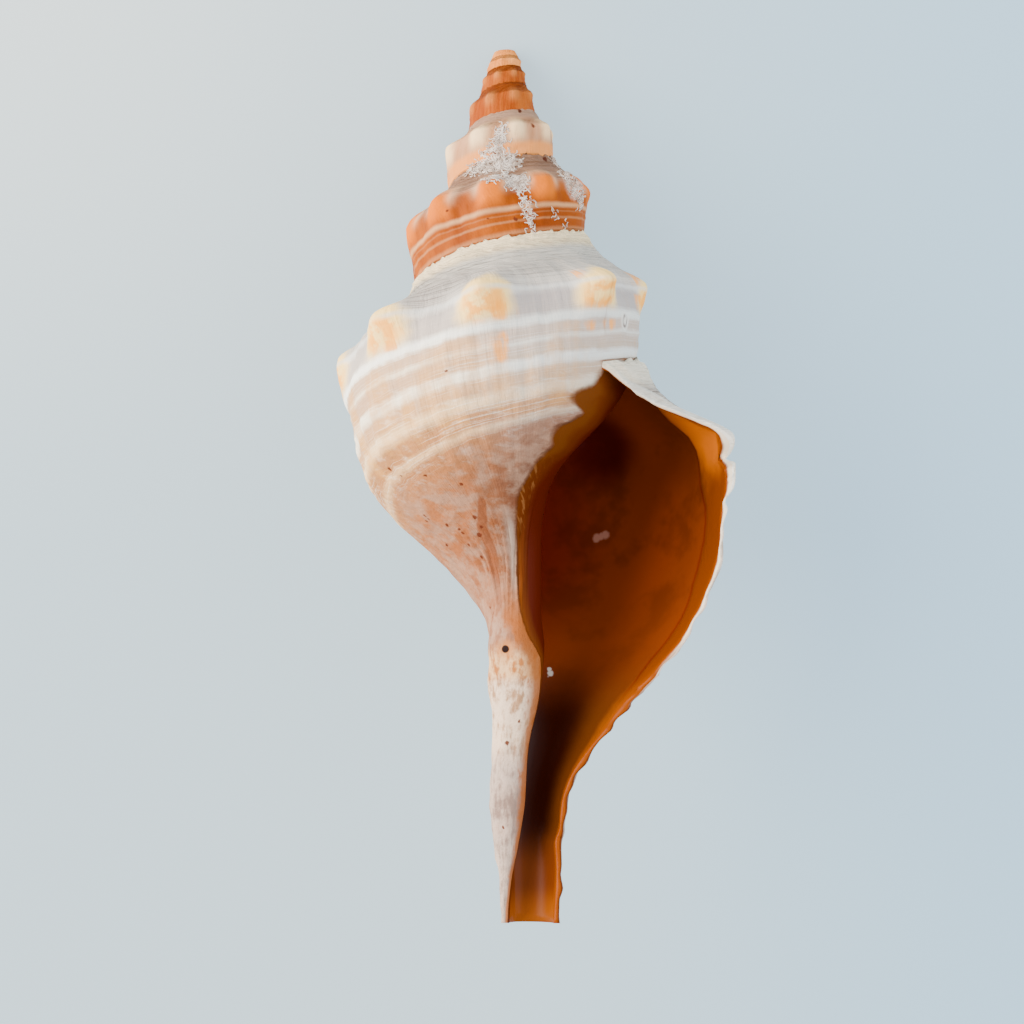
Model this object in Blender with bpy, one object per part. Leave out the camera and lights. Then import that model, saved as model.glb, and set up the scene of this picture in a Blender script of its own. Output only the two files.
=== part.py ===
"""A horse conch shell: one grown piece, hollow, lying on its back with the aperture up.

The wall is one sheet that winds about the coiling axis and grows by a constant factor each
turn. Everywhere it is a radius from that axis, which depends on the turn angle and on the depth
below the apex, so the spire, the body whorl, the parietal wall and the columella are stretches
of one surface. Near the tip that self-similar form hands over to the long siphonal canal.

Shell frame while modelling: +Y towards the apex, +Z out of the aperture, +X to the lip side.
Turn angle 0 is the lip side on the last turn. It rises in the direction of growth, so a whole
turn earlier is 360 degrees less. Lengths are in millimetres, and an outline's depths and radii
are those at turn angle 0: at any other angle its own depth is the depth over the growth there.
"""

import math

import bmesh
import bpy
import numpy as np
from mathutils import Matrix, Vector

MM = 0.001
TURN = 2 * math.pi

# Growth. Depths are measured along the axis from the point that the coil runs up to.
GROWTH_PER_TURN = 1.64
SUTURE_DEPTH = 76.9
NEXT_SUTURE_DEPTH = SUTURE_DEPTH * GROWTH_PER_TURN
CANAL_END_DEPTH = 205.0
APEX_DOME = 1.9
APEX_BLUNTNESS = 2.4
APEX_REACH = 12.0

# The whorl's outline: (depth, radius) from the suture over the shoulder to the neck.
SUTURE_RADIUS = 28.2
WHORL_OUTLINE = (
    (SUTURE_DEPTH, SUTURE_RADIUS),
    (77.8, 29.2),
    (81.0, 30.8),
    (85.0, 33.4),
    (90.0, 39.0),
    (96.0, 44.6),
    (104.0, 46.6),
    (114.0, 47.1),
    (120.0, 46.9),
    (NEXT_SUTURE_DEPTH, SUTURE_RADIUS * GROWTH_PER_TURN),
    (131.5, 44.5),
    (136.5, 42.0),
    (142.0, 38.5),
    (147.0, 34.2),
    (152.2, 28.7),
    (156.1, 24.0),
    (162.2, 18.5),
    (168.5, 15.0),
    (178.5, 12.2),
    (190.0, 10.0),
)
NECK_DEPTHS = (157.0, 187.0)
EARLY_FLATNESS = 0.45
EARLY_TURNS = (-4.2, -2.4)
FLATNESS_FADE = 8.0

# The pillar in the middle, the canal's free edge, and the axis's bends, against depth.
PILLAR_RADIUS = (
    (66, 8.0),
    (96, 7.5),
    (109, 6.7),
    (118, 5.6),
    (136, 5.6),
    (143, 6.4),
    (153, 5.8),
    (166, 4.1),
    (176, 4.1),
    (187, 2.9),
    (195, 1.5),
    (204, 0.9),
    (220, 0.8),
)
CANAL_EDGE_RADIUS = (
    (145, 30.0),
    (155, 23.5),
    (162, 19.4),
    (172.5, 15.3),
    (178.7, 14.0),
    (184, 13.6),
    (187, 12.6),
    (193, 13.0),
    (202, 12.6),
    (220, 11.0),
)
CANAL_OPENS_DEG = (-135.0, 10.0)
EARLY_PILLAR_SHARE = 0.75
PILLAR_GROWS_TURNS = (-1.5, -1.0)
AXIS_BEND = (
    (0, -0.7),
    (16, -0.7),
    (26, -0.4),
    (40, 0.1),
    (62, 0.8),
    (80, 1.3),
    (100, 2.0),
    (136, 2.0),
    (156, 1.5),
    (171, 0.2),
    (190, -0.4),
    (220, -0.6),
)
AXIS_RECURVE = ((0, 0.0), (115, 0.0), (165, -2.5), (220, -9.0))

# The last turn is drawn in below its widest, most of all on the side away from the lip.
WAIST_DEG = -165.0
WAIST_REACH_DEG = 62.0
WAIST_SHARE = 0.27
WAIST_DEPTHS = (132.0, 158.0)
LIP_DRAW_IN = 0.03
LIP_DRAW_DEG = (-60.0, 0.0)
LIP_DRAW_DEPTHS = (118.0, 131.0)

# Where the last turn is a little fuller: turn angle and its reach, depth and its reach, height.
SWELLS = (
    (8.0, 45.0, 163.5, 9.0, 3.2),
    (-190.0, 40.0, 85.0, 9.0, 1.5),
    (12.0, 12.0, 94.5, 3.2, 3.0),
)

# Shoulder knobs: their turn angles in degrees, latest turn first, then evenly back to the apex.
KNOB_ANGLES = (12, -24, -61, -103, -138, -173, -219, -260, -307, -360)
KNOB_ANGLES += (-391, -425, -466, -508, -548, -582, -618, -654, -689)
KNOB_ANGLES += (-720, -742, -784, -828, -870, -915, -960, -1002, -1046)
EARLY_KNOB_PITCH = 46.0
KNOB_HEIGHT = 6.6
EARLY_KNOB_SHARE = 0.7
LIP_KNOB_SHARE = 0.55
KNOB_DEPTH = 97.0
KNOB_HALF_WIDTH_DEG = 10.5
KNOB_REACH_ABOVE = 5.0
KNOB_REACH_BELOW = 10.0
KNOBS_FADE_ABOVE = 82.0
KNOBS_FADE_BELOW = 118.0
KNOBS_BOLDER_TURNS = (-1.3, -0.95)

# The aperture: where the lip's edge stands, in degrees of turn angle, against outline depth.
LIP_ANGLES = (
    (SUTURE_DEPTH, 50.0),
    (81.5, 40.0),
    (85, 26.0),
    (90, 12.0),
    (98, 9.0),
    (136, 7.0),
    (206, 2.0),
)
LIP_SKEW_REACH_DEG = 120.0
LIP_FLARE = 1.0
LIP_FLARE_DEPTH = 106.0
LIP_FLARE_REACH = 5.0
LIP_FLARE_DEG = 14.0
WALL_AT_LIP = 1.5
WALL_INSIDE = 2.6
WALL_THICKENS_DEG = 45.0
INNER_KNOBS = 0.5
LIP_ROUNDING = 0.5
HOLLOW_DEG = 330.0
END_ROUNDING_DEG = 40.0
FLOOR_ROUNDING = 9.0
FLOOR_DROP_PER_TURN = 520.0
NARROWEST_GAP = 0.8
LEAST_HOLLOW_LENGTH = 20.0
TOP_BELOW_SUTURE = 1.0
SLOPE_STEP = 0.5

# The surface runs on past the canal's end to this depth, before it is cut square.
RUN_OUT_DEPTH = 220.0

# How the shell lies: the turns that put its three resting points level, and their flats.
LAY_ROLL_DEG = 8.08
LAY_PITCH_DEG = -25.7
WORN_FLAT_DEPTH = 0.5

# Mesh fineness.
ROWS_PER_TURN = 40
ROWS_BACK = 256
EDGE_STEPS = 2
WHORL_DEPTHS = (SUTURE_DEPTH, 78.5, 83, 88, 93, 97, 102, 108, 116, NEXT_SUTURE_DEPTH)
BELOW_DEPTHS = (132.5, 137, 142, 147, 152, 157, 163, 169)
NECK_STEPS = 6
DEPTH_SAMPLES = 700
WELD_DISTANCE = 2e-7
SHARP_ANGLE_DEG = 50.0

SHELL_COLOUR = (0.86, 0.70, 0.58, 1.0)
SHELL_ROUGHNESS = 0.35


def curve(x, points):
    """A smooth line through (x, y) points that never overshoots them: a monotone cubic."""
    xs, ys = np.array(points, float).T
    run = np.diff(xs)
    slope = np.diff(ys) / run
    before, after = slope[:-1], slope[1:]
    same_way = before * after > 0
    safe_before = np.where(same_way, before, 1.0)
    safe_after = np.where(same_way, after, 1.0)
    weight_a = 2 * run[1:] + run[:-1]
    weight_b = run[1:] + 2 * run[:-1]
    mean = (weight_a + weight_b) / (weight_a / safe_before + weight_b / safe_after)
    tangent = np.concatenate([slope[:1], np.where(same_way, mean, 0.0), slope[-1:]])
    x = np.clip(x, xs[0], xs[-1])
    i = np.clip(np.searchsorted(xs, x, side="right") - 1, 0, len(run) - 1)
    t = (x - xs[i]) / run[i]
    start = ys[i] * (1 + 2 * t) * (1 - t) ** 2 + tangent[i] * run[i] * t * (1 - t) ** 2
    end = ys[i + 1] * t * t * (3 - 2 * t) + tangent[i + 1] * run[i] * t * t * (t - 1)
    return start + end


def ease(x, low, high):
    """0 below low, 1 above high, and a smooth S between them."""
    t = np.clip((x - low) / (high - low), 0, 1)
    return t * t * (3 - 2 * t)


def growth(turn):
    """The shell's size at a turn angle, as a share of its size at turn angle 0."""
    return GROWTH_PER_TURN ** (turn / TURN)


def knob_angles():
    """Every shoulder knob's turn angle in radians, from the lip back to the apex."""
    last = KNOB_ANGLES[-1]
    early = np.arange(last - EARLY_KNOB_PITCH, -360 * ROWS_BACK / ROWS_PER_TURN, -EARLY_KNOB_PITCH)
    return np.radians(np.concatenate([KNOB_ANGLES, early]))


def knob_relief(turn, depth):
    """How far the shoulder knobs stand out: a bell across each knob and along the outline."""
    away = (turn[..., None] - knob_angles()) / math.radians(KNOB_HALF_WIDTH_DEG)
    shares = np.ones(away.shape[-1])
    shares[0] = LIP_KNOB_SHARE
    across = (shares * np.exp(-(away**2))).sum(-1)
    reach = np.where(depth < KNOB_DEPTH, KNOB_REACH_ABOVE, KNOB_REACH_BELOW)
    along = np.exp(-(((depth - KNOB_DEPTH) / reach) ** 2))
    below_suture = ease(depth, SUTURE_DEPTH, KNOBS_FADE_ABOVE)
    above_next = 1 - ease(depth, KNOBS_FADE_BELOW, NEXT_SUTURE_DEPTH)
    later = ease(turn, *(TURN * t for t in KNOBS_BOLDER_TURNS))
    boldness = EARLY_KNOB_SHARE + (1 - EARLY_KNOB_SHARE) * later
    return KNOB_HEIGHT * boldness * across * along * below_suture * above_next


def whorl_radius(turn, depth):
    """The whorl's outline. On the earliest turns it is nearer to the straight side of a cone."""
    bulge = curve(depth, WHORL_OUTLINE) - depth * SUTURE_RADIUS / SUTURE_DEPTH
    on_whorl = 1 - ease(depth, NEXT_SUTURE_DEPTH - FLATNESS_FADE, NEXT_SUTURE_DEPTH)
    early = 1 - ease(turn, *(TURN * t for t in EARLY_TURNS))
    return curve(depth, WHORL_OUTLINE) - EARLY_FLATNESS * early * on_whorl * bulge


def neck_radius(turn, depth):
    """The canal: the pillar's radius, opening over the last half turn to the free edge's."""
    grown = ease(turn, *(TURN * t for t in PILLAR_GROWS_TURNS))
    pillar = curve(depth, PILLAR_RADIUS)
    pillar = pillar * (EARLY_PILLAR_SHARE + (1 - EARLY_PILLAR_SHARE) * grown)
    opening = ease(turn, *np.radians(CANAL_OPENS_DEG))
    return pillar + (curve(depth, CANAL_EDGE_RADIUS) - pillar) * opening


def lip_flare(turn, depth):
    """The lip turned outwards a little at its shoulder, over the last few degrees."""
    lip = np.radians(curve(depth, LIP_ANGLES))
    near_lip = ease(turn, lip - math.radians(LIP_FLARE_DEG), lip)
    return LIP_FLARE * near_lip**2 * np.exp(-(((depth - LIP_FLARE_DEPTH) / LIP_FLARE_REACH) ** 2))


def swell(turn, depth):
    """How much fuller the last turn is in a few places: a bell across times one along each."""
    total = 0
    for angle, angle_reach, middle, reach, height in SWELLS:
        across = np.exp(-(((turn - math.radians(angle)) / math.radians(angle_reach)) ** 2))
        total = total + height * across * np.exp(-(((depth - middle) / reach) ** 2))
    return total


def skin_radius(turn, depth, knobs=1.0):
    """Radius of the outer surface at a turn angle and a depth below the coil's point."""
    size = growth(turn)
    own_depth = depth / size
    body = whorl_radius(turn, own_depth) + knobs * knob_relief(turn, own_depth)
    body = body * size + lip_flare(turn, own_depth)
    waist = np.exp(-(((turn - math.radians(WAIST_DEG)) / math.radians(WAIST_REACH_DEG)) ** 2))
    body = body * (1 - WAIST_SHARE * waist * ease(own_depth, *WAIST_DEPTHS))
    at_lip = ease(turn, *np.radians(LIP_DRAW_DEG)) * ease(own_depth, *LIP_DRAW_DEPTHS)
    body = body * (1 - LIP_DRAW_IN * at_lip) + APEX_BLUNTNESS * np.exp(-depth / APEX_REACH)
    to_neck = ease(own_depth, *NECK_DEPTHS)
    body = body * (1 - to_neck) + neck_radius(turn, depth) * to_neck
    return body + swell(turn, depth)


def place(turn, radius, depth):
    """Points in the shell frame, whose origin is the point that the coil runs up to."""
    x = radius * np.cos(turn) + curve(depth, AXIS_BEND)
    z = radius * np.sin(turn) + curve(depth, AXIS_RECURVE)
    return np.stack([x, -depth, z], axis=-1)


def edge_shares():
    """Shares from the outer to the inner side of the wall, spaced as on a round edge."""
    return (1 - np.cos(np.linspace(0, math.pi, EDGE_STEPS + 1))) / 2


def inner_radius(turn, depth):
    """Radius of the wall's inner side: the outer outline moved in by the wall's thickness."""
    above = skin_radius(turn, depth - SLOPE_STEP, 0)
    below = skin_radius(turn, depth + SLOPE_STEP, 0)
    slope = (below - above) / (2 * SLOPE_STEP)
    lip = np.radians(curve(depth / growth(turn), LIP_ANGLES))
    inside = ease(lip - turn, 0, math.radians(WALL_THICKENS_DEG))
    wall = WALL_AT_LIP + (WALL_INSIDE - WALL_AT_LIP) * inside
    return skin_radius(turn, depth, INNER_KNOBS) - wall * np.sqrt(1 + slope**2)


def hollow_gap(turn, depth):
    """Width of the hollow between the wall's inner side and the turn before it."""
    return inner_radius(turn, depth) - skin_radius(turn - TURN, depth)


def hollow_ends(turns):
    """Depths of the hollow's top corner and floor at each turn angle."""
    suture = SUTURE_DEPTH * growth(turns)[:, None]
    depths = suture + (RUN_OUT_DEPTH - suture) * np.linspace(0, 1, DEPTH_SAMPLES)[None, :]
    gap = hollow_gap(turns[:, None] + 0 * depths, depths)
    row = np.arange(len(turns))
    top = np.argmax((gap > 0) & (depths > suture + TOP_BELOW_SUTURE), axis=1)
    top_depth = depths[row, top]
    closed = (gap < NARROWEST_GAP) & (depths > top_depth[:, None] + LEAST_HOLLOW_LENGTH)
    floor = np.where(closed.any(axis=1), np.argmax(closed, axis=1), depths.shape[1] - 1)
    floor_depth = depths[row, floor]
    drop = FLOOR_DROP_PER_TURN * turns / TURN
    return top_depth, np.minimum.accumulate(floor_depth - drop) + drop


def outline_columns(turns, corner):
    """Depths at each row: down the whorl, the wall's root, the lower body, and the neck."""
    root = NEXT_SUTURE_DEPTH + (corner - NEXT_SUTURE_DEPTH) * edge_shares()[1:]
    body = np.concatenate([WHORL_DEPTHS, root, BELOW_DEPTHS])[None, :] * growth(turns)[:, None]
    share = np.linspace(0, 1, NECK_STEPS + 1)[None, 1:]
    neck = body[:, -1:] + (RUN_OUT_DEPTH - body[:, -1:]) * share
    return np.concatenate([body, neck], axis=1)


def lip_skew(turns, columns):
    """Turn angle added at each row and column, so that the last row follows the lip's edge."""
    to_lip = np.radians(curve(columns / growth(turns[-1]), LIP_ANGLES)) - turns[-1]
    fade = ease(turns, turns[-1] - math.radians(LIP_SKEW_REACH_DEG), turns[-1])
    return fade[:, None] * to_lip[None, :]


class Surface:
    """Grids of points and their faces, collected and then welded into one mesh."""

    def __init__(self):
        self.points = []
        self.faces = []
        self.count = 0

    def number(self, points):
        """Adds points and returns their numbers, in the shape of the grid."""
        shape = points.shape[:-1]
        index = self.count + np.arange(int(np.prod(shape))).reshape(shape)
        self.points.append(points.reshape(-1, 3))
        self.count += index.size
        return index

    def add_grid(self, points):
        """Adds a grid of points and the four-sided faces between its rows."""
        index = self.number(points)
        corners = (index[:-1, :-1], index[:-1, 1:], index[1:, 1:], index[1:, :-1])
        self.faces += np.stack(corners, axis=-1).reshape(-1, 4).tolist()

    def add_fan(self, centre, rim):
        """Adds triangles from one point to each stretch of a rim."""
        middle = self.number(np.array([centre], float))[0]
        index = self.number(rim)
        self.faces += [[middle, index[i], index[i + 1]] for i in range(len(index) - 1)]

    def add_zip(self, first, second):
        """Adds triangles between two rows of points that run side by side downwards."""
        a, b = self.number(first), self.number(second)
        i = j = 0
        while i < len(a) - 1 or j < len(b) - 1:
            turn_a = j == len(b) - 1 or (i < len(a) - 1 and first[i + 1, 1] > second[j + 1, 1])
            if turn_a:
                self.faces.append([a[i], b[j], a[i + 1]])
                i += 1
            else:
                self.faces.append([a[i], b[j], b[j + 1]])
                j += 1

    def welded(self):
        """The collected faces in metres, with the points that coincide made one."""
        form = bmesh.new()
        corners = [form.verts.new(point) for point in np.concatenate(self.points) * MM]
        for face in self.faces:
            form.faces.new([corners[i] for i in face])
        bmesh.ops.remove_doubles(form, verts=form.verts, dist=WELD_DISTANCE)
        bmesh.ops.dissolve_degenerate(form, edges=form.edges, dist=WELD_DISTANCE)
        return form


def add_outer_skin(surface, turns, corner):
    """The spiral strip from the apex to the lip, then the last turn's lower body and neck."""
    depths = outline_columns(turns, corner)
    spun = turns[:, None] + lip_skew(turns, depths[-1])
    points = place(spun, skin_radius(spun, depths), depths)
    seam = len(WHORL_DEPTHS) - 1
    points[:-ROWS_PER_TURN, seam] = points[ROWS_PER_TURN:, 0]
    surface.add_grid(points[:, : seam + 1])
    surface.add_grid(points[-ROWS_PER_TURN - 1 :, seam:])
    first_turn = points[: ROWS_PER_TURN + 1, 0]
    tip = [0, first_turn[:, 1].max() + APEX_DOME, 0]
    surface.add_fan(tip, np.concatenate([points[0, seam::-1], first_turn[1:]]))
    return points, depths


def add_hollow(surface, turns, skin, skin_depths):
    """The hollow's outer wall, its inner wall, the lip's edge, and the join at the lip."""
    turns = turns[turns > turns[-1] - math.radians(HOLLOW_DEG)]
    top, floor = hollow_ends(turns)
    share = (skin_depths[-1] - skin_depths[-1, 0]) / (RUN_OUT_DEPTH - skin_depths[-1, 0])
    depths = top[:, None] + (floor - top)[:, None] * share[None, :]
    spun = turns[:, None] + lip_skew(turns, depths[-1])
    spun[:, 0] = turns
    straight = turns[:, None] + 0 * depths
    back = place(straight - TURN, skin_radius(straight - TURN, depths), depths)
    to_floor = np.clip((floor[:, None] - depths) / FLOOR_ROUNDING, 0, 1)
    to_end = np.clip((turns - turns[0])[:, None] / math.radians(END_ROUNDING_DEG), 0, 1)
    share_open = np.sqrt(1 - (1 - to_floor) ** 2) * np.sqrt(1 - (1 - to_end) ** 2)
    gap = np.maximum(hollow_gap(spun, depths), 0) * share_open
    gap[:, 0] = 0
    front = place(spun, skin_radius(spun - TURN, depths) + gap, depths)
    surface.add_grid(front)
    surface.add_grid(back[:-1])
    surface.add_zip(back[-2], skin[-ROWS_PER_TURN - 1, len(WHORL_DEPTHS) - 1 + EDGE_STEPS :])
    add_lip_edge(surface, skin, front[-1])


def add_lip_edge(surface, skin, inner):
    """The narrow rounded band between the outer skin's last row and the hollow's."""
    outer, before = skin[-1], skin[-2]
    share = edge_shares()[:, None, None]
    band = outer[None] * (1 - share) + inner[None] * share
    onward = outer - before
    onward /= np.linalg.norm(onward, axis=-1, keepdims=True)
    band += onward[None] * LIP_ROUNDING * np.sqrt(np.maximum(1 - (2 * share - 1) ** 2, 0))
    seam = len(WHORL_DEPTHS) - 1
    band[:, 0] = skin[-ROWS_PER_TURN - 1, seam : seam + EDGE_STEPS + 1]
    surface.add_grid(band)


def cut_flat(form, point, normal):
    """Cuts away what lies beyond a plane, and closes the cut with a flat face."""
    geometry = form.verts[:] + form.edges[:] + form.faces[:]
    bmesh.ops.bisect_plane(form, geom=geometry, plane_co=point, plane_no=normal, clear_outer=True)
    rim = [edge for edge in form.edges if edge.is_boundary]
    bmesh.ops.triangle_fill(form, edges=rim, use_beauty=True, use_dissolve=False)


def closed_form():
    """The whole shell as one closed surface in the shell frame, its canal cut square."""
    turns = math.radians(LIP_ANGLES[0][1]) - TURN * np.arange(ROWS_BACK, -1, -1) / ROWS_PER_TURN
    corner = hollow_ends(turns[-2:])[0][-1] / growth(turns[-1] - TURN)
    surface = Surface()
    skin, depths = add_outer_skin(surface, turns, corner)
    add_hollow(surface, turns, skin, depths)
    form = surface.welded()
    cut_flat(form, Vector((0, -CANAL_END_DEPTH, 0)) * MM, Vector((0, -1, 0)))
    bmesh.ops.recalc_face_normals(form, faces=form.faces)
    return form


def lay_down(form):
    """Turns the shell to the way it lies, wears its resting flats, and stands it on z = 0."""
    lay = Matrix.Rotation(math.radians(LAY_PITCH_DEG), 3, "X")
    lay = lay @ Matrix.Rotation(math.radians(LAY_ROLL_DEG), 3, "Y")
    bmesh.ops.transform(form, matrix=lay.to_4x4(), verts=form.verts)
    lowest = min(corner.co.z for corner in form.verts)
    cut_flat(form, Vector((0, 0, lowest + WORN_FLAT_DEPTH * MM)), Vector((0, 0, -1)))
    places = np.array([corner.co for corner in form.verts])
    low, high = places.min(axis=0), places.max(axis=0)
    move = Vector((-(low[0] + high[0]) / 2, -(low[1] + high[1]) / 2, -low[2]))
    bmesh.ops.translate(form, vec=move, verts=form.verts)


def shell_mesh():
    """The shell's mesh, lying at rest."""
    form = closed_form()
    lay_down(form)
    bmesh.ops.triangulate(form, faces=form.faces)
    mesh = bpy.data.meshes.new("shell")
    form.to_mesh(mesh)
    form.free()
    return mesh


def shell_material():
    """Matt, slightly porcelain-like lime, in the middle of the shell's pinks and tans."""
    material = bpy.data.materials.new("shell")
    material.use_nodes = True
    finish = material.node_tree.nodes["Principled BSDF"].inputs
    finish["Base Color"].default_value = SHELL_COLOUR
    finish["Roughness"].default_value = SHELL_ROUGHNESS
    finish["Metallic"].default_value = 0.0
    return material


def main():
    for obj in list(bpy.data.objects):
        bpy.data.objects.remove(obj)
    mesh = shell_mesh()
    mesh.materials.append(shell_material())
    mesh.shade_smooth()
    mesh.set_sharp_from_angle(angle=math.radians(SHARP_ANGLE_DEG))
    shell = bpy.data.objects.new("shell", mesh)
    bpy.context.scene.collection.objects.link(shell)


main()
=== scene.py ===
"""The horse conch shell's looks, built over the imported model.

One closed fine surface stands for the CAD shell. It is worked out from the same growth formula,
with the cords, ruffles, growth lines and chipped lip that the solid leaves out. A crust of small
tube animals sits on the spire as a second piece.

Shell frame: +Y towards the apex, +Z out of the aperture, +X to the lip side, in millimetres from
the point that the coil runs up to. A turn angle rises in the direction of growth, and a point's
own depth is its depth below that point over the shell's growth at its turn angle. Angles are in
radians unless a name ends in deg, and depths, heights and radii in millimetres.
"""

import logging  # noqa: E402
import math  # noqa: E402
from dataclasses import dataclass, field  # noqa: E402
from enum import IntEnum  # noqa: E402

import bmesh  # noqa: E402
import bpy  # noqa: E402
import numpy as np  # noqa: E402
from mathutils import Matrix, Vector  # noqa: E402


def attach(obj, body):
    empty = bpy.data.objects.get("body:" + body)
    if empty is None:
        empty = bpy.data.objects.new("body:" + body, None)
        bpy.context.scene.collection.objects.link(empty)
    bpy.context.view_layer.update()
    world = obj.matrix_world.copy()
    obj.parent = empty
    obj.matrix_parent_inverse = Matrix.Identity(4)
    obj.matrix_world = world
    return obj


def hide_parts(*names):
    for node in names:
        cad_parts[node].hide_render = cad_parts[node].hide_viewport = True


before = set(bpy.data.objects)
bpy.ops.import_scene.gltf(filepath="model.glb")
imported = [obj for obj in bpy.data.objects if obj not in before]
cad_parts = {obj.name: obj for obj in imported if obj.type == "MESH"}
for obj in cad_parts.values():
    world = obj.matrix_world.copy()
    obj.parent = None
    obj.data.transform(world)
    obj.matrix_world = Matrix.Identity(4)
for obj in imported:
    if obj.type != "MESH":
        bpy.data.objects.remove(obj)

LOG = logging.getLogger("horse_conch")
MM = 0.001
TURN = 2 * math.pi
Array = np.ndarray
Pair = tuple[float, float]
Points = tuple[Pair, ...]
Rows = tuple[tuple[float, float, float], ...]
Colour = tuple[float, float, float]
Colours = tuple[Colour, Colour]
Spot = tuple[float, float, float]
Zones = tuple[tuple[float, Colour, Colour], ...]
Marks = tuple[tuple[Spot, float], ...]
Waves = tuple[tuple[float, float, float, int], ...]


def curve(x: Array, points: Points) -> Array:
    """A smooth line through (x, y) points that never overshoots them: a monotone cubic.

    Args:
        x: Where to read the line; it is held level beyond the first and last point.
        points: The points, in rising order of x.

    Returns:
        The line's height at each x.
    """
    xs, ys = np.array(points, float).T
    run = np.diff(xs)
    slope = np.diff(ys) / run
    before, after = slope[:-1], slope[1:]
    same_way = before * after > 0
    safe_before = np.where(same_way, before, 1.0)
    safe_after = np.where(same_way, after, 1.0)
    weight_a = 2 * run[1:] + run[:-1]
    weight_b = run[1:] + 2 * run[:-1]
    mean = (weight_a + weight_b) / (weight_a / safe_before + weight_b / safe_after)
    tangent = np.concatenate([slope[:1], np.where(same_way, mean, 0.0), slope[-1:]])
    x = np.clip(x, xs[0], xs[-1])
    i = np.clip(np.searchsorted(xs, x, side="right") - 1, 0, len(run) - 1)
    t = (x - xs[i]) / run[i]
    start = ys[i] * (1 + 2 * t) * (1 - t) ** 2 + tangent[i] * run[i] * t * (1 - t) ** 2
    end = ys[i + 1] * t * t * (3 - 2 * t) + tangent[i + 1] * run[i] * t * t * (t - 1)
    return start + end


def ease(x: Array, low: float, high: float) -> Array:
    """0 below low, 1 above high, and a smooth S between them."""
    t = np.clip((x - low) / (high - low), 0, 1)
    return t * t * (3 - 2 * t)


def bell(x: Array, middle: float, reach: float) -> Array:
    """1 at the middle, falling away to either side as a Gauss curve."""
    return np.exp(-(((x - middle) / reach) ** 2))


def wander(x: Array, y: Array, seed: int, waves: int = 7) -> Array:
    """Smooth unevenness between about -1 and 1: a sum of sine waves at mixed slants.

    Args:
        x: First coordinate, where one wave is about one unit of 2 pi long.
        y: Second coordinate, likewise.
        seed: Picks the slants and phases.
        waves: How many waves are added.

    Returns:
        The sum at each place, over the square root of the number of waves.
    """
    chance = np.random.default_rng(seed)
    total = np.zeros(np.broadcast(x, y).shape)
    for angle, stretch, phase in chance.uniform(0, 1, (waves, 3)):
        slant = angle * TURN
        pitch = 0.6 + 1.3 * stretch
        total = total + np.sin(pitch * (x * math.cos(slant) + y * math.sin(slant)) + phase * TURN)
    return total / math.sqrt(waves)


def wanders(x: Array, y: Array, waves: Waves) -> Array:
    """A sum of wanders, each of them given as (height, scale of x, scale of y, seed)."""
    return sum(height * wander(x * along, y * down, seed) for height, along, down, seed in waves)


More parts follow.
